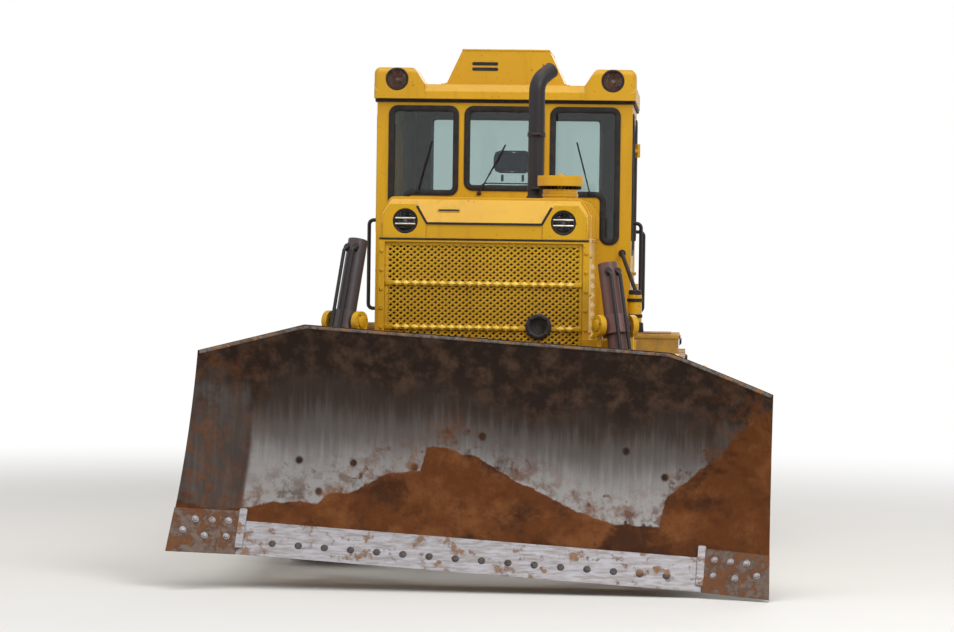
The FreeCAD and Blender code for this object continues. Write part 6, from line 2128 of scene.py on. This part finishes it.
@dataclass
class Fenders(Assembly):
    """Treads, steps, box lids with latches and the canister's clamp."""

    inner: float = 0.61
    cab_half: float = 0.83
    outer: float = 1.19
    top: float = 1.24
    front: float = -0.62
    battery: tuple[float, float, float, float, float] = (0.66, 1.15, -0.6, -0.12, 1.4)
    tools: tuple[float, float, float, float, float] = (-1.16, -0.87, 1.18, 1.7, 1.385)
    canister: tuple[float, float, float] = (0.87, -0.43, 0.045)
    tread_pitch: float = 0.034

    def build_treads(self) -> None:
        """Rows of raised lozenges on the walkways, in two crossing directions."""
        lozenge = plate(np.array([(-0.016, 0), (0, -0.004), (0.016, 0), (0, 0.004)]), 0.0024, 0.0006, 1)
        pitch, moves = self.tread_pitch, []
        for side, x0, x1, y0, y1 in ((1, self.cab_half + 0.03, self.outer - 0.03, -0.05, 1.66),
                                     (-1, self.inner + 0.03, self.outer - 0.03, self.front + 0.03, 1.1)):
            for i, j in np.ndindex(int((x1 - x0) / pitch), int((y1 - y0) / pitch)):
                x, y = x0 + (i + 0.5) * pitch, y0 + (j + 0.5) * pitch
                if side > 0 or y <= -0.02 or x >= self.cab_half + 0.03:
                    moves.append(spun((-1) ** (i + j + 1) * pi / 4, side * x, y, self.top - 0.0003))
        self.put("fender_treads", lozenge.repeated(moves), Slot.YELLOW, self.palette.dusty_yellow)

    def build_boxes(self) -> None:
        """Lids, latches and hinges on both boxes."""
        lids, metal = [], []
        t = np.linspace(0, 2 * pi, 15)[:-1]
        bail = tube(np.column_stack([0.01 * np.cos(t), 0.014 * np.sin(t) - 0.006, 0 * t + 0.01]), 0.003, 8,
                    closed=True)
        for x0, x1, y0, y1, z in (self.battery, self.tools):
            lids += [block((x0 - 0.006, y0 - 0.006, z - 0.028), (x1 + 0.006, y1 + 0.006, z + 0.004), 0.005),
                     block((x0 + 0.05, y0 + 0.05, z + 0.003), (x1 - 0.05, y1 - 0.05, z + 0.009), 0.005)]
            outer, inner, away = (x1, x0, 1.0) if x1 > 0 else (x0, x1, -1.0)
            for y in (y0 + 0.1, y1 - 0.1):
                place = facing((outer + away * 0.006, y, z - 0.04), (away, 0, 0))
                metal += [panel(0.034, 0.058, 0.005, 3, 0.006, 0.002, 1).moved(place), bail.moved(place)]
            metal += [tube([(inner, y - 0.03, z - 0.002), (inner, y + 0.03, z - 0.002)], 0.007, 10)
                      for y in (y0 + 0.09, (y0 + y1) / 2, y1 - 0.09)]
        self.put("box_lids", lids, Slot.YELLOW, self.palette.dusty_yellow)
        self.put("box_latches", metal, Slot.DARK)

    def build_canister(self) -> None:
        """The canister's clamp, its black cap and the foot it stands in."""
        x, y, r = self.canister
        base, back = self.battery[4], y + r
        clamp = hoop([(r + 0.0005, 0), (r + 0.005, 0.001), (r + 0.005, 0.021), (r + 0.0005, 0.022)], 32)
        foot = turned([(r + 0.012, 0.0), (r + 0.014, 0.006), (r + 0.01, 0.064), (r - 0.004, 0.068)], 32)
        cap = turned([(r - 0.0115, 0.0), (r - 0.006, 0.002), (r - 0.006, 0.026), (r - 0.012, 0.0305),
                      (0.004, 0.0305)], 24)
        stay = block((x - 0.02, back - 0.004, base + 0.13), (x + 0.02, back + 0.02, base + 0.16))
        post = block((x - 0.022, back + 0.014, base), (x + 0.022, back + 0.022, base + 0.24), 0.003)
        rings = [(clamp, base + 0.1), (clamp, base + 0.2), (foot, base + 0.004), (cap, 1.645)]
        self.put("canister_fittings", [shape.shifted(x, y, z) for shape, z in rings] + [stay, post],
                 Slot.RUBBER)

    def build_steps(self) -> None:
        """A stirrup step below each door, hung from the fender's edge on two flat bars."""
        y0, y1, x, top = 0.52, 0.9, self.outer + 0.002, self.top
        pieces = []
        for y in (y0, y1):
            run = [(x + 0.004, y, top - drop) for drop in (0.01, 0.2, 0.23)]
            pieces += [strap(run, 0.008, 0.045, 0.002, 1, BACK),
                       hex_head(0.009, 0.007).on_each([(x + 0.008, y, top - dz) for dz in (0.025, 0.05)],
                                                      LEFT)]
        pieces.append(block((x - 0.055, y0 - 0.022, top - 0.245), (x + 0.012, y1 + 0.022, top - 0.225)))
        stud = turned([(0.012, 0), (0.01, 0.004), (0.006, 0.0045), (0.002, 0.001)], 10)
        pieces += [stud.shifted(x - 0.022, y, top - 0.2255) for y in np.arange(y0, y1 + 0.01, 0.042)]
        self.put("door_steps", join(pieces).both_sides(), Slot.DARK)


@dataclass
class Rear(Assembly):
    """Tank cap, straps and sight glass, flange bolts and the drawbar's pin."""

    tank_front: float = 1.545
    tank_rear: float = 2.01
    tank_low: float = 1.15
    tank_top: float = 2.02
    tank_round: float = 0.06
    filler_x: float = -0.12
    case_half: float = 0.43
    flange_y: float = 1.8
    case_low: float = 0.44
    case_top: float = 1.15
    cover_z: float = 0.8
    drawbar: tuple[float, float, float] = (2.17, 0.37, 0.05)
    drawbar_bore: float = 0.0225

    def build_tank(self) -> None:
        """Two straps round the tank, its filler, ladder rungs, a sight glass and the tail lamps."""
        y0, y1, z0, z1 = self.tank_front, self.tank_rear, self.tank_low, self.tank_top
        straps, x, middle = [], self.filler_x, (self.tank_front + self.tank_rear) / 2
        for at in (-0.4, 0.4):
            path = [(at, y1 + 0.003, z0 + 0.02), (at, y1 + 0.003, z1 + 0.003), (at, y0 - 0.003, z1 + 0.003),
                    (at, y0 - 0.003, 1.3)]
            straps += [strap(bent(path, self.tank_round + 0.003, 8), 0.055, 0.006, 0.002, 1, LEFT),
                       hex_head(0.011, 0.01).on_each([(at, y1 + 0.006, z0 + dz) for dz in (0.1, 0.16)], BACK)]
        self.put("tank_straps", straps, Slot.DARK)
        cap = turned([(0.062, 0.0), (0.062, 0.018), (0.05, 0.022), (0.05, 0.03), (0.068, 0.032),
                      (0.07, 0.052), (0.06, 0.06), (0.004, 0.062)], 36).shifted(x, middle, z1 - 0.002)
        grip = block((x - 0.055, middle - 0.009, z1 + 0.056), (x + 0.055, middle + 0.009, z1 + 0.076), 0.006)
        self.put("tank_filler", [cap, grip], Slot.RUBBER)
        rungs = []
        for z in (1.36, 1.62, 1.88):
            run = [(0.47, y1 - 0.004, z), (0.47, y1 + 0.06, z), (0.58, y1 + 0.06, z), (0.58, y1 - 0.004, z)]
            rungs.append(tube(bent(run, 0.02, 5), 0.01))
        run = [(-0.5, y0 + 0.08, z1), (-0.5, y0 + 0.08, z1 + 0.075), (-0.5, y1 - 0.08, z1 + 0.075),
               (-0.5, y1 - 0.08, z1)]
        self.put("tank_rungs", rungs + [tube(bent(run, 0.03), 0.011)], Slot.DARK)
        gauge = facing((-0.52, y1, 1.62), BACK)
        self.put("sight_gauge", panel(0.046, 0.34, 0.012, 4, 0.012, 0.004).moved(gauge), Slot.DARK)
        self.put("sight_glass", panel(0.02, 0.28, 0.009, 4, 0.0145, 0.002, 1).moved(gauge), Slot.LENS)
        places = [(x, y1, 1.245) for x in (-0.585, 0.585)]
        rim = hoop([(0.044, 0.0), (0.044, 0.02), (0.038, 0.024), (0.036, 0.018), (0.036, 0.0)], 28)
        lens = turned([(0.037, 0.01), (0.034, 0.022), (0.018, 0.027), (0.002, 0.028)])
        self.put("tail_lamp_rims", rim.on_each(places, BACK), Slot.RUBBER)
        self.put("tail_lamp_lenses", lens.on_each(places, BACK), Slot.LENS, self.palette.red_lens)

    def build_flange(self) -> None:
        """Bolts round the rear flange and a cover plate with its bolts."""
        wide, y, z0, z1 = self.case_half - 0.035, self.flange_y, self.case_low, self.case_top
        edge = [(x, y, z) for x in np.linspace(-wide, wide, 8) for z in (z0 + 0.035, z1 - 0.035)]
        edge += [(side * wide, y, z) for z in np.linspace(z0 + 0.12, z1 - 0.12, 5) for side in (-1, 1)]
        cover = turned([(0.15, 0.0), (0.148, 0.01), (0.105, 0.016), (0.07, 0.03), (0.055, 0.032),
                        (0.004, 0.032)], 40)
        ring_bolts = circle((0, y + 0.012, self.cover_z), 0.127, 10, LEFT)
        pieces = [hex_head(0.014, 0.012).on_each(edge, BACK), cover.on((0, y, self.cover_z), BACK),
                  hex_head(0.011, 0.01).on_each(ring_bolts, BACK)]
        self.put("rear_cover", pieces, Slot.YELLOW)

    def build_drawbar(self) -> None:
        """The drawbar's pin with its handle."""
        y, z, top = self.drawbar
        r = self.drawbar_bore
        pin = turned([(r - 0.003, -0.045), (r - 0.001, -0.04), (r - 0.001, top + 0.002),
                      (r + 0.014, top + 0.002), (r + 0.014, top + 0.012), (0.012, top + 0.016),
                      (0.003, top + 0.016)], 28)
        handle = [(0.0, 0.0, top + 0.01), (0.0, 0.0, top + 0.09), (-0.06, 0.0, top + 0.09),
                  (-0.06, 0.0, top + 0.045)]
        shape = join([pin, tube(bent(handle, 0.016, 5), 0.006, 10)])
        self.put("drawbar_pin", shape.shifted(0, y, z), Slot.TRACK)


@dataclass
class Interior(Assembly):
    """The operator's place: cushions, dash, consoles, floor mat and head lining."""

    seat_y: float = 0.9
    seat_half: float = 0.24
    seat_low: float = 1.62
    seat_top: float = 1.74
    back_top: float = 2.38
    back_thick: float = 0.12
    length: float = 0.48
    head_half: float = 0.14
    head_low: float = 2.425
    head_top: float = 2.6
    head_thick: float = 0.09
    margin: float = 0.014
    console_x: float = 0.37
    console_half: float = 0.06
    console_top: float = 1.86
    dash_half: float = 0.33
    dash_front: float = 0.11
    dash_depth: float = 0.19
    dash_top: float = 2.06
    cab_inner: float = 0.78
    floor_top: float = 1.33
    ceiling: float = 2.89
    cell: float = 0.006
    frames: int = 20
    pressure: float = 4.0
    cap: float = 0.012
    groove: float = 0.006

    def cushion_form(self, size: Numbers) -> Shape:
        """A pad before it is blown up: points p of a cube's grid, drawn to p / (sum |p|^9)^(1/9).

        Args:
            size: width, length and thickness.

        Returns:
            The pad about the origin, its top towards +Z.
        """
        steps = np.linspace(-1, 1, 25)
        u, v = np.meshgrid(steps, steps, indexing="ij")
        one = np.ones_like(u)
        sides = np.array([(u, v, one), (v, u, -one), (one, u, v), (-one, v, u), (v, one, u), (u, -one, v)])
        points = np.moveaxis(sides, 1, -1)
        points = points / (np.abs(points) ** 9).sum(axis=-1, keepdims=True) ** (1 / 9) * np.asarray(size) / 2
        return join([net(side) for side in points]).outward()

    @staticmethod
    def evaluated(piece: bpy.types.Object) -> tuple[bpy.types.Mesh, Array]:
        """A piece's mesh with its modifiers applied.

        Args:
            piece: the piece with live modifiers.

        Returns:
            A new mesh, and its points.
        """
        mesh = bpy.data.meshes.new_from_object(piece.evaluated_get(bpy.context.evaluated_depsgraph_get()))
        points = np.empty(len(mesh.vertices) * 3)
        mesh.vertices.foreach_get("co", points)
        return mesh, points.reshape(-1, 3)

    def blown(self, name: str, shape: Shape) -> Shape:
        """Remeshes a pad, blows it up as cloth and returns the settled surface.

        Args:
            name: of the working object.
            shape: the pad before it is blown up.

        Returns:
            The surface, with no point moved by more than the cap.
        """
        scene = bpy.context.scene
        work = put_mesh(name + "_work", shape)
        remesh = work.modifiers.new("remesh", "REMESH")
        remesh.mode, remesh.voxel_size = "VOXEL", self.cell
        bpy.context.view_layer.update()
        ready, before = self.evaluated(work)
        bpy.data.objects.remove(work)
        pad = bpy.data.objects.new(name + "_pad", ready)
        scene.collection.objects.link(pad)
        after = before
        settings = pad.modifiers.new("cloth", "CLOTH").settings
        settings.use_pressure, settings.uniform_pressure_force = True, self.pressure
        settings.effector_weights.gravity, settings.quality = 0.0, 5
        for frame in range(1, self.frames + 1):
            scene.frame_set(frame)
        after = self.evaluated(pad)[1]
        scene.frame_set(1)
        move = after - before
        reach = np.linalg.norm(move, axis=1, keepdims=True)
        points = before + move * np.minimum(1.0, self.cap / np.maximum(reach, 1e-9))
        faces = np.array([tuple(p.vertices) for p in ready.polygons if len(p.vertices) == 4])
        bpy.data.objects.remove(pad)
        return Shape(points, faces)

    def build_seat(self) -> None:
        """Seat, back and head cushions with sewn channels and piping, each blown up in its CAD solid."""
        edge, width = 2 * self.margin, 2 * (self.seat_half - self.margin)
        back_y = self.seat_y + self.length / 2 - self.back_thick / 2
        parts = (
            ("seat_pad", (width, self.length - edge, self.seat_top - self.seat_low - edge),
             facing((0, self.seat_y, (self.seat_low + self.seat_top) / 2), (0, 0, 1), BACK), 3, 0.75),
            ("back_pad", (width, self.back_top - self.seat_top - edge, self.back_thick - edge),
             facing((0, back_y, (self.seat_top + self.back_top) / 2), AHEAD), 5, 0.7),
            ("head_pad",
             (2 * self.head_half - edge, self.head_top - self.head_low - edge, self.head_thick - edge),
             facing((0, back_y, (self.head_low + self.head_top) / 2), AHEAD), 1, 0.7))
        for name, size, place, channels, fill in parts:
            pad = self.blown(name, self.cushion_form(size))
            x, y, z = pad.points.T
            for line in range(1, channels):
                near = np.exp(-((y - size[1] * (line / channels - 0.5)) / self.groove) ** 2) * (z > 0)
                z -= 0.01 * near * smooth(size[0] / 2 - 0.035 - np.abs(x), 0.0, 0.02)
            z -= 0.006 * np.exp(-((np.abs(x) - size[0] / 2 + 0.045) / self.groove) ** 2) * (z > 0)
            outline = rectangle(size[0] - 0.002, size[1] - 0.002, 0.05, 8)
            cord = np.column_stack([outline, np.full(len(outline), size[2] / 2 - 0.016)])
            replaced = ("seat_cushions",) if name == "seat_pad" else ()
            piece = self.put(name, pad.moved(place), Slot.CLOTH, replaces=replaced, soft_angle=60.0)
            smoothing = piece.modifiers.new("smoothing", "SUBSURF")
            smoothing.levels = smoothing.render_levels = 1
            self.put(name + "_piping", tube(cord, 0.0045, 8, closed=True).moved(place), Slot.RUBBER)

    def build_dash(self) -> None:
        """The dash's cowl, its gauges and switches, which look at the seat, and the pedals."""
        y = self.dash_front + self.dash_depth
        cowl = block((-self.dash_half - 0.006, self.dash_front + 0.004, self.dash_top - 0.012),
                     (self.dash_half + 0.006, y + 0.03, self.dash_top + 0.014), 0.01)
        rims, faces, hands, pedals = [], [], [], []
        for k, x in enumerate((-0.19, -0.1, 0.0, 0.1, 0.19)):
            r = 0.046 if k == 2 else 0.034
            place = facing((x, y + 0.008, 1.945), BACK)
            rims.append(hoop([(r + 0.005, 0), (r + 0.005, 0.007), (r, 0.009), (r - 0.001, 0.0)],
                             28).moved(place))
            faces.append(turned([(r - 0.001, 0.0), (r - 0.001, 0.002), (0.002, 0.002)]).moved(place))
            lines = [(0.0, 0.72, 35 + 40 * k, 0.0035, 0.0012, 6)]
            lines += [(0.8, 0.93, 30 * step - 30, 0.0026, 0.0008, 5) for step in range(9)]
            for start, end, angle, high, thick, sides in lines:
                t = radians(angle)
                run = [(r * share * cos(t), r * share * sin(t), high) for share in (start, end)]
                hands.append(tube(run, thick, sides).moved(place))
        rims += [panel(0.022, 0.034, 0.004, 3, 0.016, 0.003, 1).on((x, y + 0.004, 1.862), BACK)
                 for x in np.linspace(-0.21, 0.21, 8)]
        self.put("dash_cowl", [cowl, panel(0.52, 0.2, 0.02, 5, 0.008, 0.003).on((0, y, 1.92), BACK)],
                 Slot.PLASTIC)
        self.put("gauge_rims", rims, Slot.RUBBER)
        self.put("gauge_faces", faces, Slot.PLASTIC, self.palette.gauge_face)
        self.put("gauge_hands", hands, Slot.PLASTIC, self.palette.gauge_mark)
        for x in (-0.17, 0.0, 0.17):
            pedals += [block((x - 0.045, y + 0.075, 1.425), (x + 0.045, y + 0.1, 1.52), 0.006),
                       tube([(x, y - 0.005, 1.47), (x, y + 0.085, 1.47)], 0.011, 10)]
        self.put("pedals", pedals, Slot.RUBBER)

    def build_consoles(self) -> None:
        """An armrest pad, a lever's gaiter and three knobs on each console."""
        x, half, top = self.console_x, self.console_half, self.console_top
        pad = block((x - half + 0.006, self.seat_y - 0.17, top - 0.004),
                    (x + half - 0.006, self.seat_y + 0.17, top + 0.03), 0.014)
        folds = [(0.046 - 0.026 * h + 0.004 * (k % 2), 0.001 + 0.06 * h)
                 for k, h in enumerate(np.linspace(0, 1, 13))]
        gaiter = turned([(0.05, 0.0)] + folds).shifted(x, self.seat_y - 0.27, top)
        knob = turned([(0.008, 0), (0.008, 0.012), (0.011, 0.016), (0.01, 0.026), (0.002, 0.028)], 14)
        knobs = [knob.shifted(x + dx, self.seat_y - 0.175, top) for dx in (-0.032, 0.0, 0.032)]
        self.put("armrest_pads", pad.both_sides(), Slot.PLASTIC)
        self.put("lever_gaiters", join([gaiter] + knobs).both_sides(), Slot.RUBBER)

    def build_trim(self) -> None:
        """Ribbed floor mat, quilted head lining, a lamp, and posts inside the rear corners.

        The lining hangs by 0.020 (1 - u^4)(1 - v^4) + 0.004 |sin 3 pi u| |sin 3 pi v|.
        """
        steps = np.arange(-self.cab_inner + 0.03, self.cab_inner - 0.03, 0.01)
        ribs = self.floor_top + 0.003 + 0.002 * (np.arange(len(steps)) % 2)
        front = np.stack([np.column_stack([steps, np.full(len(steps), y), ribs])
                          for y in (self.dash_front + 0.02, 1.46)])
        back = front.copy()
        back[..., 2] = self.floor_top + 0.0005
        self.put("floor_mat", slab(front, back), Slot.RUBBER)
        u, v = np.meshgrid(np.linspace(-1, 1, 41), np.linspace(-1, 1, 41), indexing="ij")
        sag = 0.02 * (1 - u ** 4) * (1 - v ** 4) + 0.004 * np.abs(np.sin(3 * pi * u) * np.sin(3 * pi * v))
        x, y = u * (self.cab_inner - 0.004), 0.795 + v * 0.68
        low = np.stack([x, y, self.ceiling - 0.016 - sag], axis=2)
        high = np.stack([x, y, np.full(u.shape, self.ceiling - 0.001)], axis=2)
        self.put("head_lining", slab(low, high), Slot.PLASTIC)
        lamp = panel(0.16, 0.06, 0.012, 4, 0.016, 0.005).on((0.0, 0.6, 2.85), (0, 0, -1), BACK)
        self.put("cab_lamp", lamp, Slot.LENS, self.palette.gauge_mark)
        posts = [block((x - 0.042, 1.39, self.floor_top), (x + 0.042, 1.474, self.ceiling - 0.01), 0.018)
                 for x in (-0.735, 0.735)]
        self.put("rear_posts", posts, Slot.PLASTIC)


def main() -> None:
    """Loads the frame, dresses it and adds the pieces that only the looks need."""
    logging.basicConfig(level=logging.INFO, format="%(name)s: %(message)s")
    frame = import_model()
    datum = Datum()
    palette = Palette()
    dress_frame(frame, palette)
    Stage().build()
    Viewpoint().build(datum)
    for assembly in (Blade, Grille, Lamps, Glazing, Hood, Tracks, Undercarriage, Cabin, Fenders, Rear,
                     Interior):
        assembly(datum, palette).build()
    Cylinders(datum, palette, frame["joints"]).build()
    bpy.context.scene.view_settings.view_transform = "Standard"


if __name__ == "__main__":
    main()
